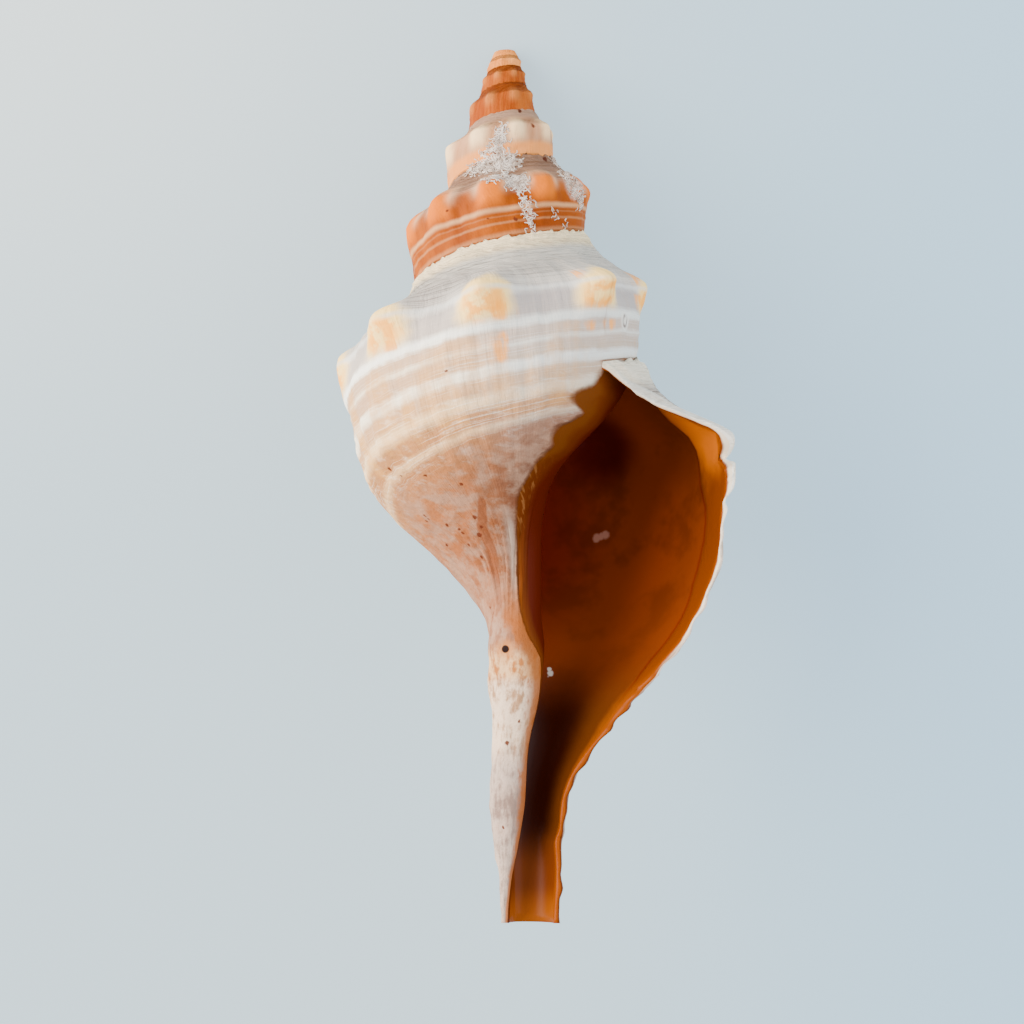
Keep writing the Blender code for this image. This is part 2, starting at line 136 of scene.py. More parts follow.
@dataclass(frozen=True)
class Growth:
    """The shell's formula: radius from the coiling axis against turn angle and depth."""

    rate: float = 1.64
    suture: float = 76.9
    next_suture: float = 76.9 * 1.64
    suture_radius: float = 28.2
    canal_end: float = 205.0
    run_out: float = 220.0
    apex_bluntness: float = 2.4
    apex_reach: float = 12.0
    outline: Points = (
        (76.9, 28.2), (77.8, 29.2), (81.0, 30.8), (85.0, 33.4), (90.0, 39.0), (96.0, 44.6),
        (104.0, 46.6), (114.0, 47.1), (120.0, 46.9), (76.9 * 1.64, 28.2 * 1.64), (131.5, 44.5),
        (136.5, 42.0), (142.0, 38.5), (147.0, 34.2), (152.2, 28.7), (156.1, 24.0),
        (162.2, 18.5), (168.5, 15.0), (178.5, 12.2), (190.0, 10.0),
    )
    neck_depths: Pair = (157.0, 187.0)
    early_flatness: float = 0.70
    early_turns: Pair = (-4.2, -2.4)
    flatness_fade: float = 8.0
    pillar: Points = (
        (66, 8.0), (96, 7.5), (109, 6.7), (118, 5.6), (136, 5.6), (143, 6.4), (153, 5.8),
        (166, 4.1), (176, 4.1), (187, 2.9), (195, 1.5), (204, 0.9), (220, 0.8),
    )
    canal_edge: Points = (
        (145, 30.0), (155, 23.5), (162, 19.4), (172.5, 15.3), (178.7, 14.0), (184, 13.6),
        (187, 12.6), (193, 13.0), (202, 12.6), (220, 11.0),
    )
    canal_opens_deg: Pair = (-135.0, 10.0)
    early_pillar_share: float = 0.75
    pillar_grows_turns: Pair = (-1.5, -1.0)
    axis_bend: Points = (
        (0, -0.7), (16, -0.7), (26, -0.4), (40, 0.1), (62, 0.8), (80, 1.3), (100, 2.0),
        (136, 2.0), (156, 1.5), (171, 0.2), (190, -0.4), (220, -0.6),
    )
    axis_recurve: Points = ((0, 0.0), (115, 0.0), (165, -2.5), (220, -9.0))
    waist_deg: float = -165.0
    waist_reach_deg: float = 62.0
    waist_share: float = 0.27
    waist_depths: Pair = (132.0, 158.0)
    lip_draw_in: float = 0.03
    lip_draw_deg: Pair = (-60.0, 0.0)
    lip_draw_depths: Pair = (118.0, 131.0)
    swells: tuple[tuple[float, float, float, float, float], ...] = (
        (8.0, 45.0, 163.5, 9.0, 3.2), (-190.0, 40.0, 85.0, 9.0, 1.5), (12.0, 12.0, 94.5, 3.2, 3.0),
    )
    knobs: tuple[float, ...] = (
        12, -24, -61, -103, -138, -173, -219, -260, -307, -360,
        -391, -425, -466, -508, -548, -582, -618, -654, -689,
        -720, -742, -784, -828, -870, -915, -960, -1002, -1046,
    )
    early_knob_pitch: float = 46.0
    first_knob_deg: float = -2304.0
    knob_height: float = 6.6
    early_knob_share: float = 0.85
    lip_knob_share: float = 0.55
    knob_depth: float = 97.0
    knob_half_width_deg: float = 10.5
    knob_reach_above: float = 5.0
    knob_reach_below: float = 10.0
    early_reach_above: float = 9.0
    early_reach_below: float = 13.0
    knobs_fade_above: float = 82.0
    knobs_fade_below: float = 118.0
    knobs_bolder_turns: Pair = (-1.3, -0.95)
    lip: Points = (
        (76.9, 50.0), (81.5, 40.0), (85, 26.0), (90, 12.0), (98, 9.0), (136, 7.0), (206, 2.0),
    )
    lip_flare: float = 1.0
    lip_flare_depth: float = 106.0
    lip_flare_reach: float = 5.0
    lip_flare_deg: float = 14.0
    wall_at_lip: float = 1.5
    wall_inside: float = 2.6
    wall_thickens_deg: float = 45.0
    inner_knobs: float = 0.5
    narrowest_gap: float = 0.8
    least_hollow: float = 20.0
    floor_drop: float = 520.0
    slope_step: float = 0.5
    depth_samples: int = 700

    def size(self, turn: Array) -> Array:
        """The shell's size at a turn angle, as a share of its size at turn angle 0."""
        return self.rate ** (turn / TURN)

    def knob_angles(self) -> Array:
        """Every shoulder knob's turn angle in radians, from the lip back to the apex."""
        early = np.arange(
            self.knobs[-1] - self.early_knob_pitch, self.first_knob_deg, -self.early_knob_pitch
        )
        return np.radians(np.concatenate([self.knobs, early]))

    def across_knobs(self, turn: Array) -> Array:
        """A bell across each knob: 1 at its middle and 0 half way to the next.

        Args:
            turn: Turn angle.

        Returns:
            The sum.
        """
        away = (turn[..., None] - self.knob_angles()) / math.radians(self.knob_half_width_deg)
        shares = np.ones(away.shape[-1])
        shares[0] = self.lip_knob_share
        return (shares * np.exp(-(away**2))).sum(-1)

    def swell(self, turn: Array, depth: Array) -> Array:
        """How much fuller the last turn is in a few places: a bell across times one along each.

        Args:
            turn: Turn angle.
            depth: Depth.

        Returns:
            Millimetres added to the radius.
        """
        total = np.zeros(np.broadcast(turn, depth).shape)
        for angle, angle_reach, middle, reach, height in self.swells:
            across = bell(turn, math.radians(angle), math.radians(angle_reach))
            total = total + height * across * bell(depth, middle, reach)
        return total

    def knob_relief(self, turn: Array, own: Array) -> Array:
        """How far the knobs stand out: a bell across each knob times one along the outline.

        Args:
            turn: Turn angle.
            own: Own depth.

        Returns:
            Height at turn angle 0.
        """
        across = self.across_knobs(turn)
        later = ease(turn, *(TURN * t for t in self.knobs_bolder_turns))
        above = self.early_reach_above + (self.knob_reach_above - self.early_reach_above) * later
        below = self.early_reach_below + (self.knob_reach_below - self.early_reach_below) * later
        reach = np.where(own < self.knob_depth, above, below)
        along = np.exp(-(((own - self.knob_depth) / reach) ** 2))
        below_suture = ease(own, self.suture, self.knobs_fade_above)
        above_next = 1 - ease(own, self.knobs_fade_below, self.next_suture)
        boldness = self.early_knob_share + (1 - self.early_knob_share) * later
        return self.knob_height * boldness * across * along * below_suture * above_next

    def whorl_radius(self, turn: Array, own: Array) -> Array:
        """The whorl's outline, nearer to the straight side of a cone on the earliest turns.

        Args:
            turn: Turn angle.
            own: Own depth.

        Returns:
            Radius at turn angle 0.
        """
        line = curve(own, self.outline)
        bulge = line - own * self.suture_radius / self.suture
        on_whorl = 1 - ease(own, self.next_suture - self.flatness_fade, self.next_suture)
        early = 1 - ease(turn, *(TURN * t for t in self.early_turns))
        return line - self.early_flatness * early * on_whorl * bulge

    def neck_radius(self, turn: Array, depth: Array) -> Array:
        """The canal: the pillar's radius, opening over the last half turn to the free edge's.

        Args:
            turn: Turn angle.
            depth: Depth.

        Returns:
            Radius in millimetres.
        """
        grown = ease(turn, *(TURN * t for t in self.pillar_grows_turns))
        share = self.early_pillar_share + (1 - self.early_pillar_share) * grown
        pillar = curve(depth, self.pillar) * share
        opening = ease(turn, *np.radians(self.canal_opens_deg))
        return pillar + (curve(depth, self.canal_edge) - pillar) * opening

    def lip_angle(self, own: Array) -> Array:
        """The lip edge's turn angle in radians, against own depth."""
        return np.radians(curve(own, self.lip))

    def flare(self, turn: Array, own: Array) -> Array:
        """The lip turned outwards a little at its shoulder, over the last few degrees.

        Args:
            turn: Turn angle.
            own: Own depth.

        Returns:
            Millimetres added to the radius.
        """
        lip = self.lip_angle(own)
        near = ease(turn, lip - math.radians(self.lip_flare_deg), lip)
        return self.lip_flare * near**2 * bell(own, self.lip_flare_depth, self.lip_flare_reach)

    def skin_radius(self, turn: Array, depth: Array, knobs: float = 1.0) -> Array:
        """Radius of the smooth outer surface at a turn angle and a depth below the coil's point.

        Args:
            turn: Turn angle.
            depth: Depth.
            knobs: The share of the shoulder knobs' height that shows.

        Returns:
            Whorl outline and knobs times the shell's size there, drawn in at the waist and at
            the lip, and handed over to the neck's own radius below the body.
        """
        size = self.size(turn)
        own = depth / size
        body = self.whorl_radius(turn, own) + knobs * self.knob_relief(turn, own)
        body = body * size + self.flare(turn, own)
        waist = bell(turn, math.radians(self.waist_deg), math.radians(self.waist_reach_deg))
        body = body * (1 - self.waist_share * waist * ease(own, *self.waist_depths))
        at_lip = ease(turn, *np.radians(self.lip_draw_deg)) * ease(own, *self.lip_draw_depths)
        blunt = self.apex_bluntness * np.exp(-depth / self.apex_reach)
        body = body * (1 - self.lip_draw_in * at_lip) + blunt
        to_neck = ease(own, *self.neck_depths)
        body = body * (1 - to_neck) + self.neck_radius(turn, depth) * to_neck
        return body + self.swell(turn, depth)

    def inner_radius(self, turn: Array, depth: Array) -> Array:
        """Radius of the wall's inner side: the outer outline moved in by the wall's thickness.

        Args:
            turn: Turn angle.
            depth: Depth.

        Returns:
            Radius in millimetres.
        """
        step = self.slope_step
        above = self.skin_radius(turn, depth - step, 0)
        below = self.skin_radius(turn, depth + step, 0)
        slope = (below - above) / (2 * step)
        inside = ease(
            self.lip_angle(depth / self.size(turn)) - turn, 0, math.radians(self.wall_thickens_deg)
        )
        wall = self.wall_at_lip + (self.wall_inside - self.wall_at_lip) * inside
        outline = self.skin_radius(turn, depth, self.inner_knobs)
        return outline - wall * np.sqrt(1 + slope**2)

    def hollow_gap(self, turn: Array, depth: Array) -> Array:
        """Width of the hollow between the wall's inner side and the turn before it."""
        return self.inner_radius(turn, depth) - self.skin_radius(turn - TURN, depth)

    def hollow_ends(self, turns: Array) -> tuple[Array, Array]:
        """Depths of the hollow's top corner and of its floor at each turn angle.

        Args:
            turns: Turn angles, rising.

        Returns:
            The corner's depths and the floor's, in millimetres.
        """
        suture = self.suture * self.size(turns)[:, None]
        depths = suture + (self.run_out - suture) * np.linspace(0, 1, self.depth_samples)[None, :]
        gap = self.hollow_gap(turns[:, None] + 0 * depths, depths)
        row = np.arange(len(turns))
        top = np.argmax((gap > 0) & (depths > suture + 1), axis=1)
        top_depth = depths[row, top]
        closed = (gap < self.narrowest_gap) & (depths > top_depth[:, None] + self.least_hollow)
        floor = np.where(closed.any(axis=1), np.argmax(closed, axis=1), depths.shape[1] - 1)
        drop = self.floor_drop * turns / TURN
        return top_depth, np.minimum.accumulate(depths[row, floor] - drop) + drop

    def place(self, turn: Array, radius: Array, depth: Array) -> Array:
        """Points in the shell frame, in millimetres.

        Args:
            turn: Turn angle.
            radius: Distance from the axis.
            depth: Depth.

        Returns:
            x, y and z along the last axis.
        """
        x = radius * np.cos(turn) + curve(depth, self.axis_bend)
        z = radius * np.sin(turn) + curve(depth, self.axis_recurve)
        return np.stack([x, -depth, z], axis=-1)


@dataclass(frozen=True)
class Relief:
    """What the sea-worn surface adds to the smooth form, in millimetres at turn angle 0.

    A cord is (own depth, height, reach), and a notch is (depth, how deep, reach). The ridge, face
    and gap of a knob are (own depth, reach).
    """

    form: Growth
    cords: Rows = (
        (99.2, 0.20, 1.5), (110.5, 0.30, 1.8), (116.5, 0.18, 1.1), (123.2, 0.26, 1.7),
        (129.2, 0.12, 1.0), (132.8, 0.22, 1.6), (139.8, 0.20, 1.4), (144.5, 0.14, 0.9),
        (148.4, 0.16, 1.1), (153.6, 0.14, 1.2),
    )
    cord_boldness: float = 1.5
    collar_height: float = 0.55
    collar_depths: Pair = (78.4, 79.6)
    front_deg: tuple[float, float, float, float] = (-352.0, -330.0, -238.0, -205.0)
    lumps: Waves = ((0.34, 9, 0.35, 21), (0.16, 23, 0.8, 24))
    welts: Waves = ((0.24, 34, 0.12, 22), (0.13, 75, 0.2, 23))
    neck_lumps: Waves = ((0.24, 5, 0.42, 27), (0.34, 11, 1.1, 28))
    neck_depths: Pair = (122.0, 142.0)
    smoother_depths: Pair = (150.0, 185.0)
    smoother_by: float = 0.55
    glaze_fade: float = 6.0
    crest_height: float = 3.2
    gap_depth: float = 1.9
    ridge: Pair = (99.0, 3.4)
    face: Pair = (104.5, 4.0)
    gap: Pair = (97.0, 6.0)
    ruffles_per_turn: float = 46.0
    flute_deg: float = 11.0
    flute_height: float = 0.55
    notches: Rows = (
        (100.3, 1.25, 1.3), (110.6, 0.9, 1.4), (90.0, 0.6, 1.5), (120.5, 0.5, 1.2),
    )
    glaze_deg: Pair = (-302.0, -284.0)

    def collar(self, turn: Array, own: Array) -> Array:
        """The ruffled collar below the suture: bent folds that fade out down the ramp.

        Args:
            turn: Turn angle.
            own: Own depth.

        Returns:
            Height at turn angle 0.
        """
        bend = 5.0 * wander(turn * 7, own * 0.25, 11)
        fold = np.sin(turn * self.ruffles_per_turn + bend - 0.5 * own)
        fold = fold * (0.55 + 0.45 * wander(turn * 4, 0 * own, 13))
        window = bell(own, self.collar_depths[0], 2.0)
        rim = bell(own, self.collar_depths[1], 0.9) * (0.6 + 0.3 * wander(turn * 9, own, 12))
        return self.collar_height * (0.55 * fold * window + 0.7 * rim)

    def cord(self, turn: Array, own: Array) -> Array:
        """The spiral cords: a bell across each, a little higher and lower on its way round.

        Args:
            turn: Turn angle.
            own: Own depth.

        Returns:
            Height at turn angle 0.
        """
        total = np.zeros(np.broadcast(turn, own).shape)
        for number, (middle, height, reach) in enumerate(self.cords):
            sway = 0.35 * np.sin(3.1 * turn + 2.3 * number)
            strength = 0.8 + 0.35 * wander(turn * 3.1, 0 * own + number, 40 + number)
            total += self.cord_boldness * height * strength * bell(own, middle + sway, reach)
        return total

    def crest(self, turn: Array, own: Array) -> Array:
        """Sharpens the knobs in front along their shoulder cord, and hollows the gaps between.

        Args:
            turn: Turn angle.
            own: Own depth.

        Returns:
            Height at turn angle 0.
        """
        starts, full, fades, gone = self.front_deg
        degrees = np.degrees(turn)
        front = ease(degrees, starts, full) * (1 - ease(degrees, fades, gone))
        across = self.form.across_knobs(turn)
        ridge = self.crest_height * across**1.5 * bell(own, *self.ridge)
        face = 0.5 * self.crest_height * across * bell(own, *self.face)
        gap = self.gap_depth * (1 - np.minimum(across, 1)) * bell(own, *self.gap)
        return front * (ridge + face - gap)

    def lip_flutes(self, turn: Array, own: Array, depth: Array) -> Array:
        """The ragged lip: notches and waves in its outline, over its last few degrees.

        Args:
            turn: Turn angle.
            own: Own depth.
            depth: Depth.

        Returns:
            Height in millimetres, below 0 in a notch.
        """
        lip = self.form.lip_angle(own)
        near = ease(turn, lip - math.radians(self.flute_deg), lip) ** 2
        total = -self.flute_height * (0.5 + 0.5 * wander(depth * 0.62, 0 * depth, 61, 9))
        total = total * ease(depth, 104, 116) * (1 - 0.4 * ease(depth, 170, 190))
        for middle, drop, reach in self.notches:
            total = total - drop * bell(depth, middle, reach)
        return near * total

    def unevenness(self, turn: Array, own: Array, depth: Array) -> Array:
        """Broad lumps, welts that run along former lip edges, and a knotty neck.

        Args:
            turn: Turn angle.
            own: Own depth.
            depth: Depth.

        Returns:
            Height at turn angle 0.
        """
        lag = turn - self.form.lip_angle(own)
        body = wanders(turn, own, self.lumps) + wanders(lag, own, self.welts)
        on_neck = ease(depth, *self.neck_depths)
        return body * (1 - on_neck) + wanders(turn, depth, self.neck_lumps) * on_neck

    def height(self, turn: Array, own: Array, depth: Array) -> Array:
        """The whole relief above the smooth surface, in millimetres.

        Args:
            turn: Turn angle.
            own: Own depth at that turn.
            depth: Depth.

        Returns:
            Collar, cords and unevenness times the shell's size there, none under the glaze.
        """
        shown = ease(np.degrees(turn), *self.glaze_deg)
        glazed_from = self.form.next_suture - self.glaze_fade
        cover = np.where(own < glazed_from, 1.0, shown)
        fade = ease(own, glazed_from, self.form.next_suture)
        cover = 1 + fade * (cover - 1)
        total = self.collar(turn, own) + self.cord(turn, own) + self.unevenness(turn, own, depth)
        total = total + self.crest(turn, own)
        off_neck = 1 - self.smoother_by * ease(depth, *self.smoother_depths)
        total = total * cover * off_neck * self.form.size(turn)
        return total + self.lip_flutes(turn, own, depth)


class Fabric:
    """Points and faces gathered for one mesh, with three vectors carried by each face corner."""

    def __init__(self) -> None:
        """Starts with no points and no faces."""
        self.points: list[Array] = []
        self.count = 0
        self.faces: dict[int, list[tuple[Array, Array, int]]] = {3: [], 4: []}

    def number(self, points: Array) -> Array:
        """Adds a grid of points and returns their numbers, in the grid's shape.

        Args:
            points: Any grid, with x, y and z along its last axis.

        Returns:
            The points' numbers, in the grid's shape.
        """
        index = self.count + np.arange(int(np.prod(points.shape[:-1]))).reshape(points.shape[:-1])
        self.points.append(points.reshape(-1, 3))
        self.count += index.size
        return index

    def add(self, corners: list[Array], carried: list[Array], side: int) -> None:
        """Adds faces given corner by corner.

        Args:
            corners: Point numbers of each corner, three or four arrays of one shape.
            carried: What each corner carries, arrays of that shape by nine.
            side: The material slot of these faces.
        """
        index = np.stack([c.reshape(-1) for c in corners], axis=-1)
        marks = np.stack([m.reshape(-1, m.shape[-1]) for m in carried], axis=1)
        self.faces[len(corners)].append((index, marks, side))

    def add_grid(self, index: Array, marks: Array, side: int, flip: bool = False) -> None:
        """Adds the four-sided faces between neighbouring rows and columns of a grid.

        Args:
            index: The grid's point numbers.
            marks: What each point carries.
            side: The material slot.
            flip: Whether the faces look the other way.
        """
        parts = [
            (slice(None, -1), slice(None, -1)), (slice(None, -1), slice(1, None)),
            (slice(1, None), slice(1, None)), (slice(1, None), slice(None, -1)),
        ]
        parts = parts[::-1] if flip else parts
        self.add([index[p] for p in parts], [marks[p] for p in parts], side)

    def add_zip(
        self, first: tuple[Array, Array, Array], second: tuple[Array, Array, Array],
        side: int, flip: bool = False,
    ) -> None:
        """Adds triangles between two lines of points that run side by side.

        Each line is (point numbers, carried vectors, places along the line). The next triangle
        always takes the next point of whichever line has got less far.

        Args:
            first: One line.
            second: The other line.
            side: The material slot.
            flip: Whether the faces look the other way.
        """
        (a, marks_a, along_a), (b, marks_b, along_b) = first, second
        order = np.argsort(np.concatenate([along_a[1:], along_b[1:]]), kind="stable")
        on_a = order < len(a) - 1
        at_a = np.cumsum(on_a)
        at_b = np.cumsum(~on_a)
        was_a, was_b = at_a - on_a, at_b - ~on_a
        third = np.where(on_a, a[at_a], b[at_b])
        marks_third = np.where(on_a[:, None], marks_a[at_a], marks_b[at_b])
        corners = [a[was_a], b[was_b], third]
        carried = [marks_a[was_a], marks_b[was_b], marks_third]
        if flip:
            corners, carried = corners[::-1], carried[::-1]
        self.add(corners, carried, side)

    def mesh(self, name: str, names: tuple[str, ...]) -> bpy.types.Mesh:
        """The gathered faces as a mesh in metres.

        Args:
            name: The mesh's name.
            names: Names of the three vectors that the face corners carry.

        Returns:
            The mesh, smooth, with material numbers and its corner attributes set.
        """
        mesh = bpy.data.meshes.new(name)
        points = np.concatenate(self.points) * MM
        blocks = [block for size in (3, 4) for block in self.faces[size]]
        loops = np.concatenate([index.reshape(-1) for index, _, _ in blocks])
        carried = np.concatenate([marks.reshape(-1, 9) for _, marks, _ in blocks])
        totals = np.concatenate([np.full(len(i), i.shape[1]) for i, _, _ in blocks])
        sides = np.concatenate([np.full(len(i), side) for i, _, side in blocks])
        mesh.vertices.add(len(points))
        mesh.vertices.foreach_set("co", points.ravel().astype(np.float32))
        mesh.loops.add(len(loops))
        mesh.loops.foreach_set("vertex_index", loops.astype(np.int32))
        mesh.polygons.add(len(totals))
        starts = np.concatenate([[0], np.cumsum(totals)[:-1]])
        mesh.polygons.foreach_set("loop_start", starts.astype(np.int32))
        mesh.update(calc_edges=True)
        mesh.polygons.foreach_set("material_index", sides.astype(np.int32))
        for part, label in enumerate(names):
            layer = mesh.attributes.new(label, "FLOAT_VECTOR", "CORNER")
            values = carried[:, 3 * part : 3 * part + 3].astype(np.float32)
            layer.data.foreach_set("vector", values.ravel())
        mesh.shade_smooth()
        return mesh


class Side(IntEnum):
    """The material slots of the fine shell."""

    OUTSIDE = 0
    INSIDE = 1
    BREAK = 2


@dataclass
class FineShell:
    """The fine shell: three bands of turns outside, the hollow inside, and the lip between.

    A lip chip is (depth, degrees that the edge stands ahead, reach).
    """

    form: Growth
    relief: Relief
    roll_deg: float = 8.08
    pitch_deg: float = -25.7
    move_mm: Spot = (-6.078, 96.075, 0.834)
    turns_per_level: tuple[float, ...] = (4.4, 1.0, 1.0)
    rows_per_turn: tuple[int, int, int] = (100, 200, 290)
    inner_rows_per_turn: int = 150
    lip_rows: int = 26
    lip_rows_deg: float = 12.0
    lip_skew_reach_deg: float = 120.0
    hollow_deg: float = 330.0
    lip_chips: Rows = (
        (100.3, -5.0, 1.3), (111.0, -2.2, 1.2), (95.5, 2.4, 3.0), (105.5, 2.0, 3.2),
    )
    end_rounding_deg: float = 40.0
    floor_rounding: float = 9.0
    lip_rounding: float = 0.5
    edge_steps: int = 5
    apex_dome: float = 1.6
    apex_rings: tuple[float, ...] = (0.75, 0.45)
    spire_columns: tuple[int, int] = (26, 52)
    whorl_columns_last: int = 80
    below_columns: int = 58
    below_depth: float = 169.0
    neck_columns: int = 32
    neck_share: float = 0.86
    wall_columns: int = 56
    wall_crowding: float = 0.93
    collar_crowding: float = 0.085
    collar_stand: float = 0.12
    suture_sway: float = 0.42
    half_sides_mm: Spot = (46.03, 94.64, 42.15)
    squeeze_mm: float = 0.9
    glaze_edge: Points = (
        (84.0, -309.0), (87.0, -306.5), (89.3, -299.5), (90.8, -296.0), (92.0, -298.5),
        (93.3, -305.0), (94.8, -301.0), (97.0, -290.5), (98.8, -288.5), (100.4, -291.5),
        (102.5, -286.5), (105.0, -282.0), (107.5, -277.5), (110.0, -272.5),
        (115.7, -270.5), (124.3, -270.8), (133.3, -275.3), (142.2, -301.2), (146.5, -334.2),
        (154.0, -347.0), (178.0, -350.0), (190.0, -346.0), (197.0, -325.0), (205.0, -300.0),
    )
    band_line: Points = (
        (84.0, 21.0), (87.5, 22.4), (95.9, 23.0), (105.5, 21.4), (112.5, 16.6), (124.4, 17.1),
        (137.9, 11.6), (146.9, 10.0), (153.5, 4.0), (160.0, 3.0),
    )
    stain_line: Points = (
        (109.0, -247.0), (111.2, -243.0), (114.7, -238.0), (117.9, -231.0), (123.5, -229.0),
        (129.5, -224.0), (135.0, -230.0), (142.0, -240.0),
    )
    stain_width: Points = ((109.0, 3.0), (115.0, 5.0), (122.0, 9.0), (130.0, 11.0), (142.0, 12.0))
    fabric: Fabric = field(default_factory=Fabric)

    @property
    def end(self) -> float:
        """Turn angle of the lip's corner at the suture."""
        return math.radians(self.form.lip[0][1])

    def whorl_columns(self, cells: int) -> Array:
        """Own depths from suture to suture, closer together on the collar below the suture.

        Args:
            cells: How many steps there are.

        Returns:
            Own depths, one more than the steps.
        """
        share = np.linspace(0, 1, cells + 1)
        share = share - self.collar_crowding * np.sin(math.pi * share) ** 2 * (1 - share)
        return self.form.suture + (self.form.next_suture - self.form.suture) * share

    def lip_ripple(self, own: Array) -> Array:
        """How far the lip's edge stands ahead of its smooth line, in radians: chips and waves.

        Args:
            own: Own depth.

        Returns:
            Radians.
        """
        depth = own * self.form.size(self.end)
        wave = 0.9 * np.sin(own * 1.05 + 1.3 * wander(own * 0.5, 0 * own, 31))
        chips = 1.1 * wander(own * 1.3, 0 * own + 2.0, 32) + 0.5 * wander(own * 3.1, 0 * own, 33)
        notch = sum(by * bell(depth, middle, reach) for middle, by, reach in self.lip_chips)
        step = -3.0 * ease(depth, 184.6, 185.4) * (1 - ease(depth, 191.0, 197.0))
        strength = ease(own, 78, 86) * (1 - 0.5 * ease(own, 140, 170))
        return np.radians(strength * (wave + chips) * 0.85 + notch + step)

    def skew(self, turns: Array, own: Array) -> Array:
        """Turn angle added at each row and column, so that the last row follows the lip's edge.

        Args:
            turns: Turn angles, rising.
            own: Own depth of each column at the lip.

        Returns:
            Radians, by row and column.
        """
        to_lip = self.form.lip_angle(own) - self.end
        fade = ease(turns, self.end - math.radians(self.lip_skew_reach_deg), self.end)
        ripple_fade = ease(turns, self.end - math.radians(1.3 * self.lip_rows_deg), self.end)
        smooth = fade[:, None] * to_lip[None, :]
        return smooth + ripple_fade[:, None] * self.lip_ripple(own)[None, :]

    def marks(self, turn: Array, depth: Array, share: Array | float = 0.0) -> Array:
        """The three vectors that a face corner carries.

        Args:
            turn: Turn angle.
            depth: Depth.
            share: Share of the way down the hollow, or less than 0 on the lip's edge.

        Returns:
            (whole turns, own depth, depth), (degrees behind the lip, knob share, share) and
            (degrees past the glaze's edge, degrees behind the lip band's inner line, stain).
        """
        own = depth / self.form.size(turn)
        behind = np.degrees(self.form.lip_angle(own) - turn)
        knob = self.form.across_knobs(turn)
        degrees = np.degrees(turn)
        glaze = curve(depth, self.glaze_edge) - degrees
        band = behind - curve(own, self.band_line)
        off_streak = (degrees - curve(depth, self.stain_line)) / curve(depth, self.stain_width)
        stain = np.exp(-(off_streak**2)) * ease(depth, 109, 113) * (1 - ease(depth, 128, 146))
        parts = (turn / TURN, own, depth, behind, knob, share + 0 * turn, glaze, band, stain)
        return np.stack(np.broadcast_arrays(*parts), axis=-1)

    def skin_points(self, turn: Array, depth: Array) -> Array:
        """The outer surface with its relief, in the shell frame."""
        relief = self.relief.height(turn, depth / self.form.size(turn), depth)
        return self.form.place(turn, self.form.skin_radius(turn, depth) + relief, depth)

    def collar_line(self, turns: Array) -> Array:
        """The suture's own line, which sways up and down over the turn before it.

        Args:
            turns: Turn angles, rising.

        Returns:
            Points in millimetres.
        """
        size = self.form.size(turns)
        sway = wander(turns * 26, 0 * turns, 51) + 0.7 * wander(turns * 70, 0 * turns, 52)
        fade = 1 - ease(turns, self.end - 0.35, self.end - 0.05)
        depth = size * (self.form.suture - self.suture_sway * (0.4 + sway) * fade)
        before = turns - TURN
        radius = self.form.skin_radius(before, depth) + self.collar_stand * size
        return self.form.place(before, radius, depth)

    def band(self, turns: Array, cells: int) -> tuple[Array, Array]:
        """Points and marks of a band of turns, from suture to suture.

        Args:
            turns: Turn angles, rising.
            cells: Steps from suture to suture.

        Returns:
            The points and their marks.
        """
        own = self.whorl_columns(cells)
        turn = turns[:, None] + 0 * own[None, :]
        depth = own[None, :] * self.form.size(turn)
        points = self.skin_points(turn, depth)
        points[:, 0] = self.collar_line(turns)
        return points, self.marks(turn, depth)

    def last_turn(self, turns: Array, corner: float) -> tuple[Array, Array, Array]:
        """Points, marks and depths of the last turn, from the suture to the canal's end.

        Args:
            turns: Turn angles, rising.
            corner: Own depth where the hollow's wall begins.

        Returns:
            The points, their marks and their depths.
        """
        form = self.form
        edge = (1 - np.cos(np.linspace(0, math.pi, self.edge_steps + 1))) / 2
        root = form.next_suture + (corner - form.next_suture) * edge[1:]
        below = np.linspace(corner, self.below_depth, self.below_columns)[1:]
        body = np.concatenate([self.whorl_columns(self.whorl_columns_last), root, below])
        depth = body[None, :] * form.size(turns)[:, None]
        neck = np.linspace(0, self.neck_share, self.neck_columns)[1:]
        neck = np.concatenate([neck, [1.0]])
        depth = np.concatenate(
            [depth, depth[:, -1:] + (form.run_out - depth[:, -1:]) * neck[None, :]], axis=1
        )
        turn = turns[:, None] + self.skew(turns, depth[-1] / form.size(turns[-1]))
        points = self.skin_points(turn, depth)
        points[:, 0] = self.collar_line(turns)
        return points, self.marks(turn, depth), depth

    def build(self) -> bpy.types.Mesh:
        """Builds the whole closed shell, cut at the canal's end and laid down.

        Returns:
            The mesh in world metres, with material slots numbered as in Side.
        """
        ends = self.end - TURN * np.cumsum((0.0,) + self.turns_per_level[::-1])
        smooth = np.linspace(ends[1], self.end - math.radians(self.lip_rows_deg),
                             self.rows_per_turn[2])
        near = np.linspace(smooth[-1], self.end, self.lip_rows + 1)[1:]
        turns = np.concatenate([smooth, near])
        corner = self.form.hollow_ends(turns[-2:])[0][-1] / self.form.size(self.end - TURN)
        points, marks, depth = self.last_turn(turns, corner)
        index = self.fabric.number(points)
        whorl = self.whorl_columns_last
        index[0, whorl] = index[-1, 0]
        self.fabric.add_grid(index, marks, Side.OUTSIDE)
        self.add_spire(ends, index, marks, whorl)
        self.add_hollow(index, points, marks, depth, whorl)
        mesh = self.fabric.mesh("shell", ("grown", "worn", "laid"))
        self.finish_form(mesh)
        return mesh

